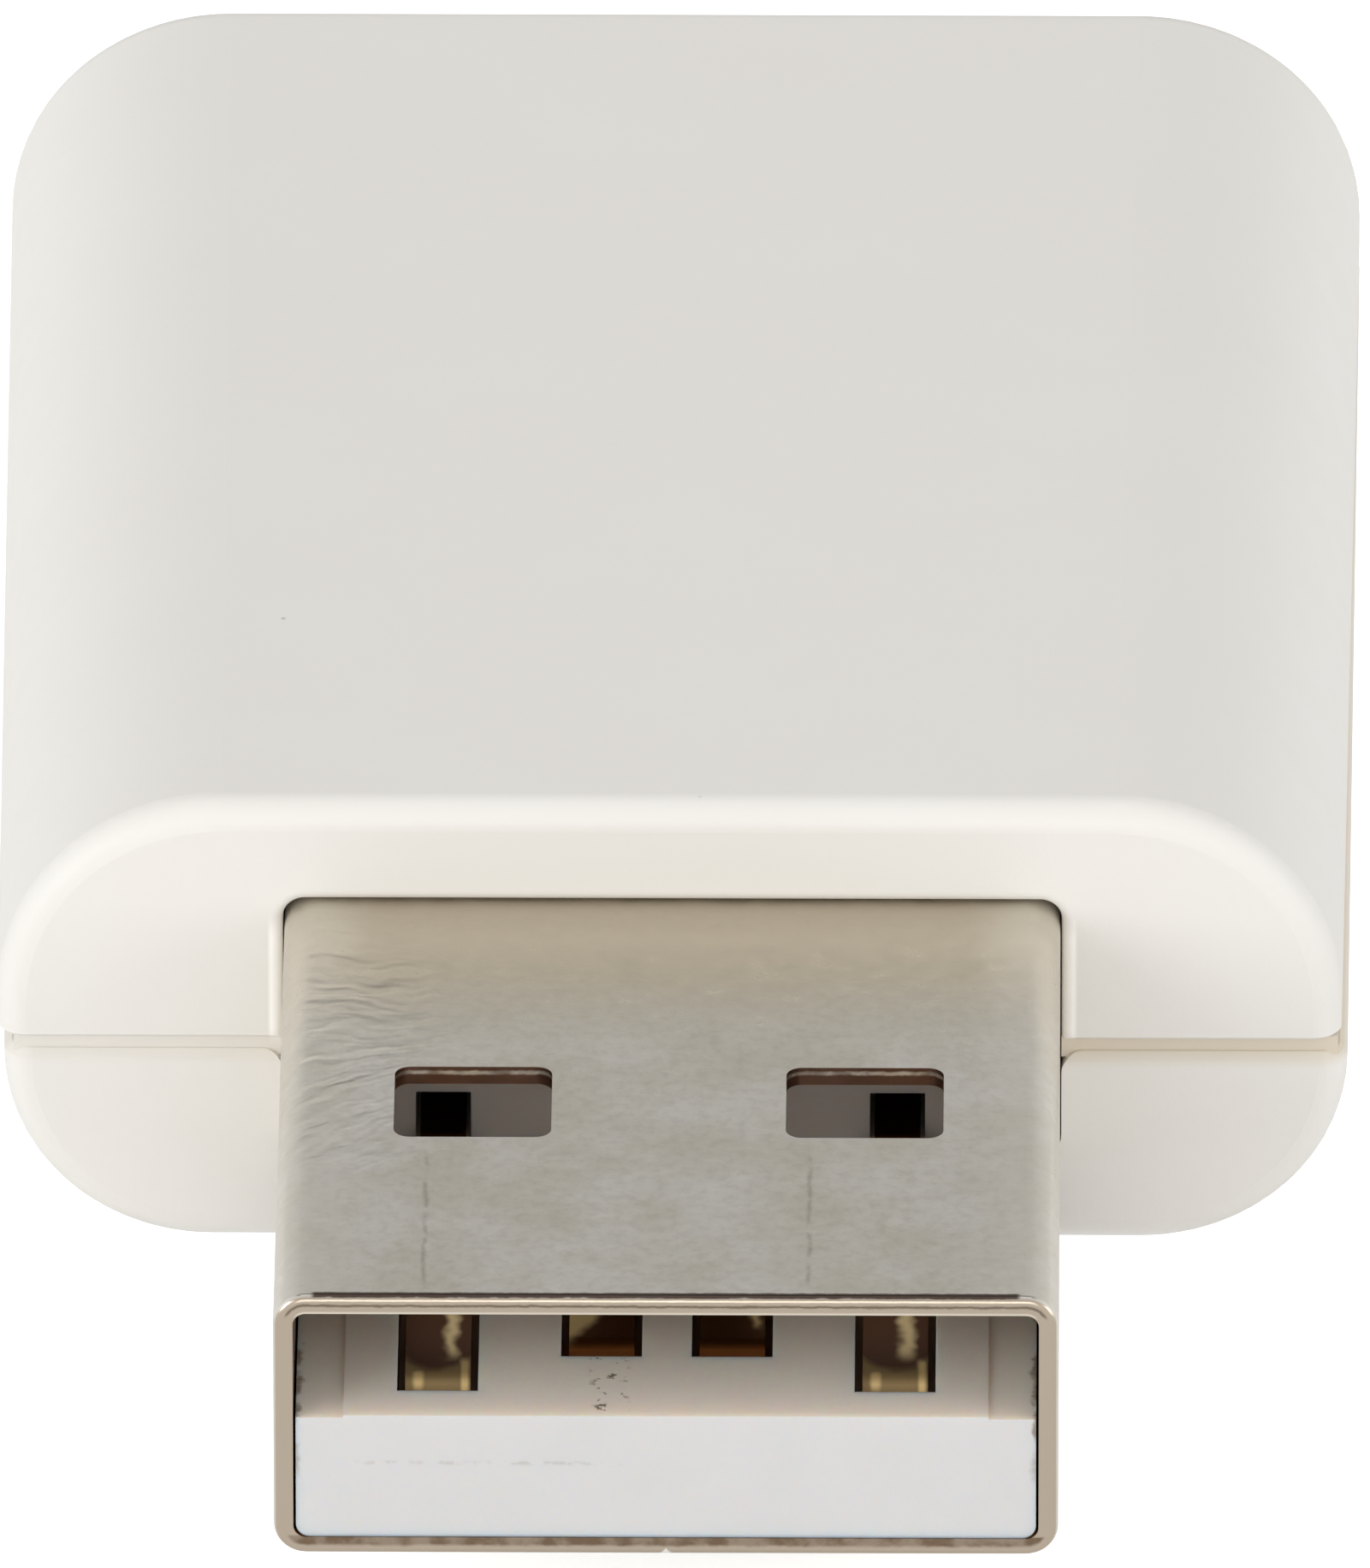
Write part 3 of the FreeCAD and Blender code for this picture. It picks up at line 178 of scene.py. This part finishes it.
class Tree:
    """A node tree with short calls for the nodes that the materials share."""

    def __init__(self, tree):
        self.tree = tree
        self.parts = None
        tree.nodes.clear()

    def fill(self, socket, given):
        """Give a socket a value, or link it to another node's output."""
        if isinstance(given, bpy.types.NodeSocket):
            self.tree.links.new(given, socket)
        else:
            socket.default_value = given

    def node(self, kind, **inputs):
        """A node whose inputs are given by name, or by number as i0, i1 and so on."""
        made = self.tree.nodes.new(kind)
        for name, given in inputs.items():
            numbered = name[0] == "i" and name[1:].isdigit()
            self.fill(made.inputs[int(name[1:]) if numbered else name.replace("_", " ")], given)
        return made

    def outputs(self, kind):
        """The outputs of a node that has no inputs."""
        return self.tree.nodes.new(kind).outputs

    def math(self, operation, first, second=0.0):
        made = self.node("ShaderNodeMath", i0=first, i1=second)
        made.operation = operation
        return made.outputs[0]

    def plus(self, first, second):
        return self.math("ADD", first, second)

    def minus(self, first, second):
        return self.math("SUBTRACT", first, second)

    def times(self, *sources):
        """The product of several numbers or outputs."""
        product = sources[0]
        for source in sources[1:]:
            product = self.math("MULTIPLY", product, source)
        return product

    def most(self, *sources):
        """The largest of several numbers or outputs."""
        largest = sources[0]
        for source in sources[1:]:
            largest = self.math("MAXIMUM", largest, source)
        return largest

    def mix(self, factor, first, second):
        made = self.tree.nodes.new("ShaderNodeMix")
        made.data_type = "RGBA"
        for number, given in ((0, factor), (6, first), (7, second)):
            self.fill(made.inputs[number], given)
        return made.outputs[2]

    def ramp(self, source, low, high, to_low=0.0, to_high=1.0):
        """The source carried smoothly from one range to another."""
        made = self.node("ShaderNodeMapRange", Value=source, From_Min=low, From_Max=high,
                         To_Min=to_low, To_Max=to_high)
        made.interpolation_type = "SMOOTHSTEP"
        return made.outputs[0]

    def band(self, source, low, high, soft):
        """1 where the source is between two values, with soft ends."""
        rise = self.ramp(source, low - soft, low + soft)
        fall = self.ramp(source, high + soft, high - soft)
        return self.times(rise, fall)

    def box(self, **bands):
        """1 inside a box that is given by its bands along x, y, z or aside."""
        sources = {"x": self.axis(0), "y": self.axis(1), "z": self.axis(2), "aside": self.aside()}
        return self.times(*(self.band(sources[name], *edges) for name, edges in bands.items()))

    def place(self, stretch=(1, 1, 1)):
        """Object coordinates in millimetres, stretched along each axis."""
        made = self.node("ShaderNodeMapping", Vector=self.outputs("ShaderNodeTexCoord")["Object"])
        made.inputs["Scale"].default_value = [share / MM for share in stretch]
        return made.outputs[0]

    def axis(self, number):
        """One of the object coordinates in millimetres."""
        if self.parts is None:
            self.parts = self.node("ShaderNodeSeparateXYZ", Vector=self.place()).outputs
        return self.parts[number]

    def aside(self):
        """The distance from the object's middle plane, in millimetres."""
        return self.math("ABSOLUTE", self.axis(0))

    def upward(self):
        """How far the surface faces upwards."""
        facing = self.outputs("ShaderNodeNewGeometry")["Normal"]
        return self.node("ShaderNodeSeparateXYZ", Vector=facing).outputs[2]

    def noise(self, size, detail=2.0, stretch=(1, 1, 1), rough=0.5):
        """Noise whose grains are about so many millimetres."""
        made = self.node("ShaderNodeTexNoise", Vector=self.place(stretch), Scale=1 / size,
                         Detail=detail, Roughness=rough)
        return made.outputs["Fac"]

    def wobble(self, noise, reach):
        """Noise spread evenly about zero, over so many millimetres."""
        return self.times(self.minus(noise, 0.5), reach)

    def specks(self, spacing, size, share):
        """Small round specks: about so many millimetres apart, a share of them kept."""
        made = self.node("ShaderNodeTexVoronoi", Vector=self.place(), Scale=1 / spacing)
        tint = self.node("ShaderNodeSeparateColor", Color=made.outputs["Color"]).outputs[0]
        kept = self.math("LESS_THAN", tint, share)
        near = self.ramp(made.outputs["Distance"], size / spacing, size / spacing / 2)
        return self.times(kept, near)

    def bump(self, height, depth):
        """A bump of so many millimetres."""
        return self.node("ShaderNodeBump", Height=height, Distance=depth * MM).outputs[0]

    def finish(self, **inputs):
        """End the material in its shader."""
        shader = self.node("ShaderNodeBsdfPrincipled", **inputs)
        self.node("ShaderNodeOutputMaterial", Surface=shader.outputs[0])


def material(name):
    made = bpy.data.materials.new(name)
    made.use_nodes = True
    return made, Tree(made.node_tree)


def make_camera():
    back = Vector((math.sin(YAW) * math.cos(ELEVATION), -math.cos(YAW) * math.cos(ELEVATION),
                   math.sin(ELEVATION)))
    right = Vector((math.cos(YAW), math.sin(YAW), 0))
    up = back.cross(right)
    camera = bpy.data.objects.new("camera", bpy.data.cameras.new("camera"))
    bpy.context.scene.collection.objects.link(camera)
    camera.data.sensor_width = SENSOR
    camera.data.lens = PIXELS_PER_MM / MM * DISTANCE / IMAGE_HIGH * SENSOR
    camera.data.clip_start = DISTANCE / 10
    camera.data.clip_end = DISTANCE * 10
    aside = right * (OFFSET_RIGHT / PIXELS_PER_MM * MM) + up * (OFFSET_UP / PIXELS_PER_MM * MM)
    turn = Matrix((right, up, back)).transposed().to_4x4()
    camera.matrix_world = (Matrix.Translation(TARGET + back * DISTANCE + aside) @ turn
                           @ Matrix.Rotation(ROLL, 4, "Z"))
    bpy.context.scene.camera = camera


def housing_plastic():
    """White housing: cloudy tint, mould grain and dust specks; the rounding beside the plug has a
    painted highlight, and the groove between the shells and the band below it have painted shade,
    more to the right."""
    made, tree = material("housing_plastic")
    x, y, z = (tree.axis(number) for number in range(3))
    tint = tree.mix(tree.noise(4, 3), HOUSING_WHITE, HOUSING_CLOUD)
    # Painted highlight on the rounding beside the plug
    tint = tree.mix(tree.box(**OPENING_HIGHLIGHT), tint, HOUSING_RIM_HIGHLIGHT)
    # Painted shade in the groove between the shells and in a band below it, deeper towards the
    # right
    groove_shade = tree.times(tree.band(z, *GROOVE_BAND), tree.ramp(x, *GROOVE_SHADE_X, 0.1, 0.9),
                        tree.ramp(y, *GROOVE_FACE_Y))
    shade_below_groove = tree.times(tree.ramp(z, *GROOVE_SHADE_RISE_Z, 0, 0.65), tree.ramp(z, *GROOVE_SHADE_TOP_Z),
                       tree.ramp(x, *GROOVE_SHADE_X, 0.3, 1.0))
    tint = tree.mix(tree.most(groove_shade, shade_below_groove), tint, HOUSING_GROOVE_SHADE)
    tint = tree.mix(tree.times(tree.specks(3.2, 0.055, 0.35), 0.5), tint, HOUSING_SPECK)
    gloss = tree.ramp(tree.noise(0.9, 3), 0.3, 0.7, 0.42, 0.52)
    surface = tree.bump(tree.noise(0.12, 3), 0.0035)
    tree.finish(Base_Color=tint, Roughness=gloss, Normal=surface, IOR=1.47)
    return made


def carrier_plastic():
    """White moulding of the plug: painted light on the top, ragged brown along the edges beside
    the sheet, brown deposits beside the second contact, specks, a faint line on the face, and
    painted shade in the slots and deeper in the mouth."""
    made, tree = material("carrier_plastic")
    y, z = tree.axis(1), tree.axis(2)
    upper = tree.times(tree.ramp(z, *TONGUE_TOP_Z), tree.ramp(tree.upward(), *FACING_UP))
    tint = tree.mix(tree.noise(1.5, 3), CARRIER_WHITE, CARRIER_CLOUD)
    # Painted light: the top face is made lighter
    tint = tree.mix(upper, tint, CARRIER_TOP_LIGHT)
    ragged = tree.noise(0.4, 3, rough=0.6)
    edge = tree.plus(tree.aside(), tree.times(ragged, 0.4))
    # Ragged brown along the carrier's edges beside the sheet, stronger higher up
    edge_brown = tree.times(tree.ramp(edge, *EDGE_BROWN_ASIDE), tree.ramp(z, *EDGE_BROWN_Z),
                       tree.ramp(tree.noise(0.7, 3), 0.44, 0.56))
    deposit = tree.times(tree.box(**DEPOSIT), upper,
                         tree.ramp(tree.noise(0.2, 3, rough=0.6), 0.58, 0.65))
    line = tree.times(tree.box(**FACE_LINE), tree.ramp(tree.noise(0.2, 3), 0.46, 0.64))
    brown_marks = tree.most(tree.times(edge_brown, 0.75), tree.times(deposit, 0.9), tree.times(line, 0.22),
                     tree.times(tree.specks(1.3, 0.05, 0.16), 0.4))
    tint = tree.mix(brown_marks, tint, CARRIER_BROWN)
    # Painted shade: the slot walls are orange-brown, so that the narrow gaps beside the contacts
    # look brown
    slot_shade = tree.times(tree.ramp(y, *SLOT_Y), tree.ramp(z, *SLOT_Z),
                       tree.ramp(tree.aside(), *SLOT_ASIDE))
    tint = tree.mix(tree.times(slot_shade, 0.8), tint, CARRIER_SLOT_SHADE)
    # Painted shade: darker and browner deeper in the mouth
    tint = tree.mix(tree.times(tree.ramp(y, *DEEP_SHADE_Y), 0.4), tint, CARRIER_DEEP_SHADE)
    gloss = tree.ramp(ragged, 0.3, 0.7, 0.34, 0.44)
    surface = tree.bump(tree.noise(0.08, 3), 0.002)
    tree.finish(Base_Color=tint, Roughness=gloss, Normal=surface, IOR=1.5,
                Subsurface_Weight=0.8, Subsurface_Scale=0.4 * MM,
                Subsurface_Radius=(1, 0.6, 0.35))
    return made


def contact_metal():
    """Gold plating painted dark brown as shade and dark reflection, darker on the outer contacts,
    with painted highlights and reflections.
    """
    made, tree = material("gold_plating")
    x, y = tree.axis(0), tree.axis(1)
    # The distance across an outer contact from its own middle
    outer = tree.minus(x, tree.times(tree.math("SIGN", x), OUTER_CONTACT_X))
    is_outer = tree.math("GREATER_THAN", tree.aside(), BETWEEN_CONTACTS_X)
    is_inner = tree.math("LESS_THAN", tree.aside(), BETWEEN_CONTACTS_X)
    ragged = tree.wobble(tree.noise(0.7, 2), 0.5)

    def highlight_band(across, place):
        return tree.times(tree.band(across, *place[0]), tree.band(y, *place[1]))

    # Painted highlight: a streak of reflection along each outer contact
    streak = highlight_band(tree.plus(outer, ragged), HIGHLIGHT_STREAK)
    # The dipped nose of the outer contacts: painted lighter gold as light on it, with painted
    # glints at its two corners
    dip = tree.minus(y, tree.times(outer, outer, NOSE_CURVE))
    nose = tree.times(is_outer, tree.ramp(tree.plus(dip, ragged), *NOSE_Y))
    glints = tree.times(is_outer, tree.most(highlight_band(outer, LEFT_GLINT), highlight_band(outer, RIGHT_GLINT)))
    # Painted highlights on corners of the inner contacts
    slanted = tree.plus(tree.plus(x, ragged), tree.ramp(y, *PATCH_SLANT_Y, 0, 0.35))
    left_patch = tree.times(tree.ramp(slanted, *LEFT_PATCH_X), tree.ramp(y, *LEFT_PATCH_Y))
    right_patch = highlight_band(tree.plus(x, ragged), RIGHT_PATCH)
    patch = tree.times(is_inner, tree.most(left_patch, right_patch))
    # Painted highlights and reflections: the streak, the nose, the glints and the patches
    highlights = tree.most(tree.times(streak, 0.9), tree.times(nose, 0.42), glints, patch)
    # Painted shade and dark reflection in the dark brown base, darker on the outer contacts, with
    # painted highlights over it
    tint = tree.mix(highlights, tree.mix(is_outer, GOLD_INNER_SHADE, GOLD_OUTER_SHADE), GOLD_HIGHLIGHT)
    gloss = tree.plus(0.36, tree.times(tree.most(nose, glints, patch), 0.3))
    surface = tree.bump(tree.noise(0.15, 3, (1, 0.3, 1)), 0.004)
    tree.finish(Base_Color=tint, Metallic=1.0, Roughness=gloss, Normal=surface)
    return made


def plug_skin(tree):
    """The distance from the plug's outer skin, negative inwards."""
    over_x = tree.minus(tree.aside(), PLUG_HALF_WIDE - PLUG_BEND)
    over_z = tree.minus(tree.math("ABSOLUTE", tree.minus(tree.axis(2), PLUG_MIDDLE)),
                        PLUG_HALF_HIGH - PLUG_BEND)
    squares = [tree.math("POWER", tree.most(over, 0.0), 2.0) for over in (over_x, over_z)]
    corner = tree.math("SQRT", tree.plus(*squares))
    flat = tree.math("MINIMUM", tree.most(over_x, over_z), 0.0)
    return tree.minus(tree.plus(corner, flat), PLUG_BEND)


def sheet_tint(tree, grain, skin):
    """Mottled nickel with a faint drawn line in front of each window; a painted warm reflection
    of the housing near it, painted highlights at the bends and painted shade on the inner side."""
    x, y = tree.axis(0), tree.axis(1)
    clouds = tree.ramp(tree.noise(1.4, 5, rough=0.6), 0.34, 0.66)
    tint = tree.mix(clouds, SHEET_CLOUD, SHEET_LIGHT)
    tint = tree.mix(tree.ramp(grain, 0.42, 0.7, 0, 0.16), tint, SHEET_GRAIN)
    # Painted reflection: the housing's warm colour on the sheet near it
    housing_reflection = tree.ramp(tree.plus(y, tree.times(clouds, 0.8)), *HOUSING_REFLECTION_Y)
    tint = tree.mix(housing_reflection, tint, SHEET_HOUSING_REFLECTION)
    # Painted highlight: lighter towards the bends
    tint = tree.mix(tree.ramp(tree.aside(), *BEND_HIGHLIGHT_ASIDE, 0, 0.5), tint, SHEET_BEND_HIGHLIGHT)
    wander = tree.wobble(tree.noise(0.7, 2), 0.12)
    lines = tree.most(*(tree.band(tree.plus(x, wander), line - 0.03, line + 0.03, 0.04)
                        for line in DRAWN_LINES_X))
    lines = tree.times(lines, tree.band(y, *DRAWN_LINES_Y),
                       tree.ramp(tree.noise(0.3, 3), 0.3, 0.6), 0.4)
    tint = tree.mix(lines, tint, SHEET_LINE)
    # Painted shade: the inner side of the sheet is browner and darker
    return tree.mix(tree.times(tree.ramp(skin, *INNER_SIDE), 0.85), tint, SHEET_INSIDE_SHADE)


def sheared_tint(tree, tint, skin):
    """Sheared faces of the windows and the mouth: a painted highlight band and painted brown
    shade on the window edges, painted shade and highlight on the top lip, browner blotches on the
    lower lip, the seam's notch painted near white as the bright floor through it, and a painted
    dark reflection line on the top face at the mouth."""
    y, z = tree.axis(1), tree.axis(2)
    ragged = tree.wobble(tree.noise(0.22, 3, rough=0.6), 0.06)
    cut = tree.plus(skin, ragged)
    # Painted highlight and painted brown shade on the sheared faces of the windows
    window = tree.times(tree.band(y, *WINDOW_Y), tree.band(skin, *SHEARED),
                        tree.band(tree.aside(), *WINDOW_ASIDE))
    cut_highlight = tree.times(tree.band(cut, *CUT_HIGHLIGHT_DEPTH),
                        tree.ramp(tree.noise(0.3, 3), 0.35, 0.6, 0.4, 1))
    tint = tree.mix(window, tint, tree.mix(cut_highlight, CUT_SHADE, CUT_HIGHLIGHT))

    top_lip = tree.ramp(z, *TOP_LIP_Z)
    low_lip = tree.ramp(z, *LOW_LIP_Z)
    blotch = tree.ramp(tree.noise(0.35, 3), 0.35, 0.65, 1, 0.55)
    # Painted shade: a darker line across the top lip's face
    lip = tree.mix(tree.times(top_lip, tree.band(cut, *DARK_CUT)), LIP_BASE, LIP_SHADE)
    # Browner blotches towards the inner edge of the lower lip
    lip = tree.mix(tree.times(low_lip, tree.ramp(cut, *LOW_CUT), blotch), lip, LIP_LOW_BROWN)
    # Painted highlight along the top lip's inner rim
    lip = tree.mix(tree.times(top_lip, tree.ramp(skin, *INNER_RIM)), lip, LIP_RIM_HIGHLIGHT)
    tint = tree.mix(tree.ramp(y, MOUTH_Y + 0.05, MOUTH_Y + 0.02), tint, lip)

    # Painted light: the seam's notch is near white, as the bright floor showing through it
    notch = tree.times(tree.ramp(tree.plus(tree.aside(), z), *NOTCH),
                       tree.ramp(y, MOUTH_Y + 0.15, MOUTH_Y + 0.12))
    tint = tree.mix(notch, tint, NOTCH_PAINTED_LIGHT)
    # Painted reflection: a dark line on the top face at the mouth
    dark_reflection = tree.times(tree.band(tree.plus(y, ragged), MOUTH_Y + 0.03, MOUTH_Y + 0.15, 0.015),
                         tree.ramp(z, *TOP_FACE_Z), tree.ramp(tree.aside(), *TOP_FACE_ASIDE))
    return tree.mix(tree.times(dark_reflection, 0.95), tint, MOUTH_DARK_REFLECTION)


def sheet_relief(tree, grain):
    """Fine grain, soft waves and ripples from rolling at the left: level near the body and
    slanting further out."""
    x, y, z = (tree.axis(number) for number in range(3))
    slant = tree.times(tree.ramp(y, *RIPPLE_SLANT_Y, 0, 0.8), tree.plus(x, RIPPLE_SLANT_X))
    along = tree.plus(tree.minus(y, slant), tree.times(tree.noise(1.1, 2), 0.9))
    across = tree.node("ShaderNodeCombineXYZ", X=tree.times(x, 0.38), Y=along, Z=z).outputs[0]
    ripple = tree.node("ShaderNodeTexNoise", Vector=across, Scale=3.1, Detail=1.0).outputs["Fac"]
    rippled = tree.times(tree.ramp(x, *RIPPLES_X), tree.band(y, *RIPPLES_Y))
    height = tree.plus(tree.times(ripple, rippled, 2.5), tree.times(grain, 0.3))
    height = tree.plus(height, tree.times(tree.noise(0.6, 3), 0.6))
    return tree.bump(height, 0.014)


def plug_metal():
    """Nickel-plated sheet of the plug, glossier at the mouth and duller at the housing."""
    made, tree = material("plug_sheet")
    y = tree.axis(1)
    skin = plug_skin(tree)
    grain = tree.noise(0.2, 3, rough=0.6)
    tint = sheared_tint(tree, sheet_tint(tree, grain, skin), skin)
    gloss = tree.ramp(tree.noise(0.4, 5, rough=0.6), 0.3, 0.7, 0.27, 0.38)
    gloss = tree.minus(gloss, tree.ramp(y, MOUTH_Y + 0.22, MOUTH_Y + 0.1, 0, 0.12))
    gloss = tree.plus(gloss, tree.ramp(y, *AT_BODY_Y, 0, 0.3))
    tree.finish(Base_Color=tint, Metallic=1.0, Roughness=gloss, Normal=sheet_relief(tree, grain))
    return made


def resin(name, colour, shade):
    """Moulded black case: faint cloudy tint, satin gloss and fine grain."""
    made, tree = material(name)
    tint = tree.mix(tree.noise(3.5, 3), colour, shade)
    gloss = tree.ramp(tree.noise(0.9, 3), 0.3, 0.7, 0.51, 0.6)
    surface = tree.bump(tree.noise(0.06, 3), 0.006)
    tree.finish(Base_Color=tint, Roughness=gloss, Normal=surface, IOR=1.47)
    return made


def metal(name, colour, shade, roughness):
    """Plain metal with cloudy tint and fine marks."""
    made, tree = material(name)
    tint = tree.mix(tree.ramp(tree.noise(1.2, 4), 0.35, 0.65), colour, shade)
    gloss = tree.ramp(tree.noise(0.6, 4), 0.3, 0.7, roughness - 0.07, roughness + 0.07)
    surface = tree.bump(tree.noise(0.15, 3), 0.002)
    tree.finish(Base_Color=tint, Metallic=1.0, Roughness=gloss, Normal=surface)
    return made


def laminate(name, colour, shade):
    """Glass-fibre board under lacquer: a fine square weave in the tint and the surface."""
    made, tree = material(name)
    weave = tree.times(tree.noise(0.12, 1, (1, 0.15, 1)), tree.noise(0.12, 1, (0.15, 1, 1)))
    tint = tree.mix(tree.ramp(weave, 0.15, 0.4), colour, shade)
    gloss = tree.ramp(tree.noise(0.8, 3), 0.3, 0.7, 0.32, 0.48)
    tree.finish(Base_Color=tint, Roughness=gloss, Normal=tree.bump(weave, 0.01))
    return made


def ceramic(name, colour, shade):
    """Fired body of a chip part, finely grained."""
    made, tree = material(name)
    tint = tree.mix(tree.noise(0.3, 3), colour, shade)
    tree.finish(Base_Color=tint, Roughness=0.45, Normal=tree.bump(tree.noise(0.1, 3), 0.004))
    return made


def dress():
    """Give every node its material."""
    finishes = {
        ("upper_shell", "lower_shell"): housing_plastic(),
        ("plug_shell",): plug_metal(),
        ("contact_carrier",): carrier_plastic(),
        ("power_contact", "data_minus_contact", "data_plus_contact", "ground_contact"):
            contact_metal(),
        ("circuit_board",):
            laminate("board_laminate", linear(24, 92, 58), linear(32, 108, 66)),
        ("radio_module_board",):
            laminate("module_laminate", linear(22, 48, 92), linear(28, 58, 106)),
        ("contact_solder", "leg_solder", "module_solder"):
            metal("solder", linear(190, 192, 196), linear(168, 170, 174), 0.28),
        ("shield_can",):
            metal("tinned_sheet", linear(196, 196, 192), linear(180, 180, 176), 0.34),
        ("radio_chip", "voltage_regulator", "surge_arrester"):
            resin("case_resin", linear(44, 45, 48), linear(36, 37, 40)),
        ("module_crystal",):
            metal("crystal_lid", linear(200, 196, 180), linear(184, 180, 166), 0.3),
        ("antenna_track",):
            metal("track_plating", linear(204, 172, 104), linear(186, 154, 92), 0.35),
        ("module_capacitors", "supply_capacitors"):
            ceramic("capacitor_ceramic", linear(158, 128, 96), linear(190, 186, 178)),
        ("data_resistors",):
            ceramic("resistor_ceramic", linear(40, 40, 44), linear(60, 60, 64)),
        ("ferrite_bead",):
            ceramic("ferrite", linear(70, 68, 66), linear(92, 90, 88)),
    }
    for names, finish in finishes.items():
        for name in names:
            slot_shade = nodes[name].data.materials
            slot_shade.clear()
            slot_shade.append(finish)


def close_seam():
    """Draw the butt edges of the folded sheet together, over the gap that the solid has there."""
    group = bpy.data.node_groups.new("closed_seam", "GeometryNodeTree")
    for way in ("INPUT", "OUTPUT"):
        group.interface.new_socket("Geometry", in_out=way, socket_type="NodeSocketGeometry")
    tree = Tree(group)
    axis = tree.node("ShaderNodeSeparateXYZ",
                     Vector=tree.outputs("GeometryNodeInputPosition")[0]).outputs
    beside = tree.math("LESS_THAN", tree.math("ABSOLUTE", axis[0]), SEAM_REACH * MM)
    under = tree.math("LESS_THAN", axis[2], PLUG_MIDDLE * MM)
    back = tree.node("ShaderNodeCombineXYZ", X=tree.times(axis[0], -1.0)).outputs[0]
    moved = tree.node("GeometryNodeSetPosition", Offset=back,
                      Geometry=tree.outputs("NodeGroupInput")[0],
                      Selection=tree.times(beside, under))
    tree.node("NodeGroupOutput", i0=moved.outputs[0])
    nodes["plug_shell"].modifiers.new("closed_seam", "NODES").node_group = group


def make_floor():
    """A pale floor that keeps the object's shadow. It can't be seen from below, and a ray that
    leaves the underside right above it goes through, so that the underside has light there."""
    mesh = bpy.data.meshes.new("floor")
    half = FLOOR_SIZE / 2
    corners = [(-half, -half, 0), (half, -half, 0), (half, half, 0), (-half, half, 0)]
    mesh.from_pydata(corners, [], [(0, 1, 2, 3)])
    floor = bpy.data.objects.new("floor", mesh)
    floor.location.z = -FLOOR_DROP
    bpy.context.scene.collection.objects.link(floor)
    made, tree = material("floor")
    path = tree.outputs("ShaderNodeLightPath")
    seen = tree.most(path["Is Camera Ray"], path["Is Transmission Ray"])
    glow = tree.plus(tree.times(seen, FLOOR_GLOW), tree.times(path["Is Glossy Ray"], FLOOR_SHEEN))
    glow = tree.node("ShaderNodeEmission", Strength=glow)
    paper = tree.node("ShaderNodeBsdfDiffuse", Color=FLOOR_COLOUR)
    both = tree.node("ShaderNodeAddShader", i0=paper.outputs[0], i1=glow.outputs[0])
    clear = tree.outputs("ShaderNodeBsdfTransparent")[0]
    unseen = tree.most(tree.outputs("ShaderNodeNewGeometry")["Backfacing"],
                       tree.ramp(path["Ray Length"], *FLOOR_NEAR))
    either = tree.node("ShaderNodeMixShader", i0=unseen, i1=both.outputs[0], i2=clear)
    tree.node("ShaderNodeOutputMaterial", Surface=either.outputs[0])
    mesh.materials.append(made)


def make_world():
    """A plain bright room with one darker gap high up behind the object."""
    world = bpy.data.worlds.new("room")
    world.use_nodes = True
    bpy.context.scene.world = world
    tree = Tree(world.node_tree)
    way = tree.outputs("ShaderNodeTexCoord")["Generated"]
    axis = tree.node("ShaderNodeSeparateXYZ", Vector=way).outputs
    level = tree.plus(ROOM_LEVEL, tree.times(axis[0], axis[0], ROOM_SIDES))
    level = tree.minus(level, tree.times(axis[1], ROOM_FRONT))
    towards = tree.plus(tree.times(axis[1], math.cos(GAP_HEIGHT)),
                        tree.times(axis[2], math.sin(GAP_HEIGHT)))
    level = tree.minus(level, tree.times(tree.ramp(towards, *GAP_EDGES), ROOM_GAP))
    level = tree.most(level, tree.outputs("ShaderNodeLightPath")["Is Camera Ray"])
    room = tree.node("ShaderNodeBackground", Color=ROOM_COLOUR, Strength=level)
    tree.node("ShaderNodeOutputWorld", Surface=room.outputs[0])


def make_lamp(name, place, size, level):
    """A square soft lamp of a given brightness, turned to the object."""
    lamp = bpy.data.lights.new(name, "AREA")
    lamp.size = size
    lamp.energy = math.pi * size * size * level
    holder = bpy.data.objects.new(name, lamp)
    holder.location = place
    holder.rotation_euler = (TARGET - Vector(place)).to_track_quat("-Z", "Y").to_euler()
    bpy.context.scene.collection.objects.link(holder)


make_camera()
make_floor()
make_world()
for lamp_name, settings in LAMPS.items():
    make_lamp(lamp_name, *settings)
dress()
close_seam()
bpy.context.scene.view_settings.view_transform = "Standard"
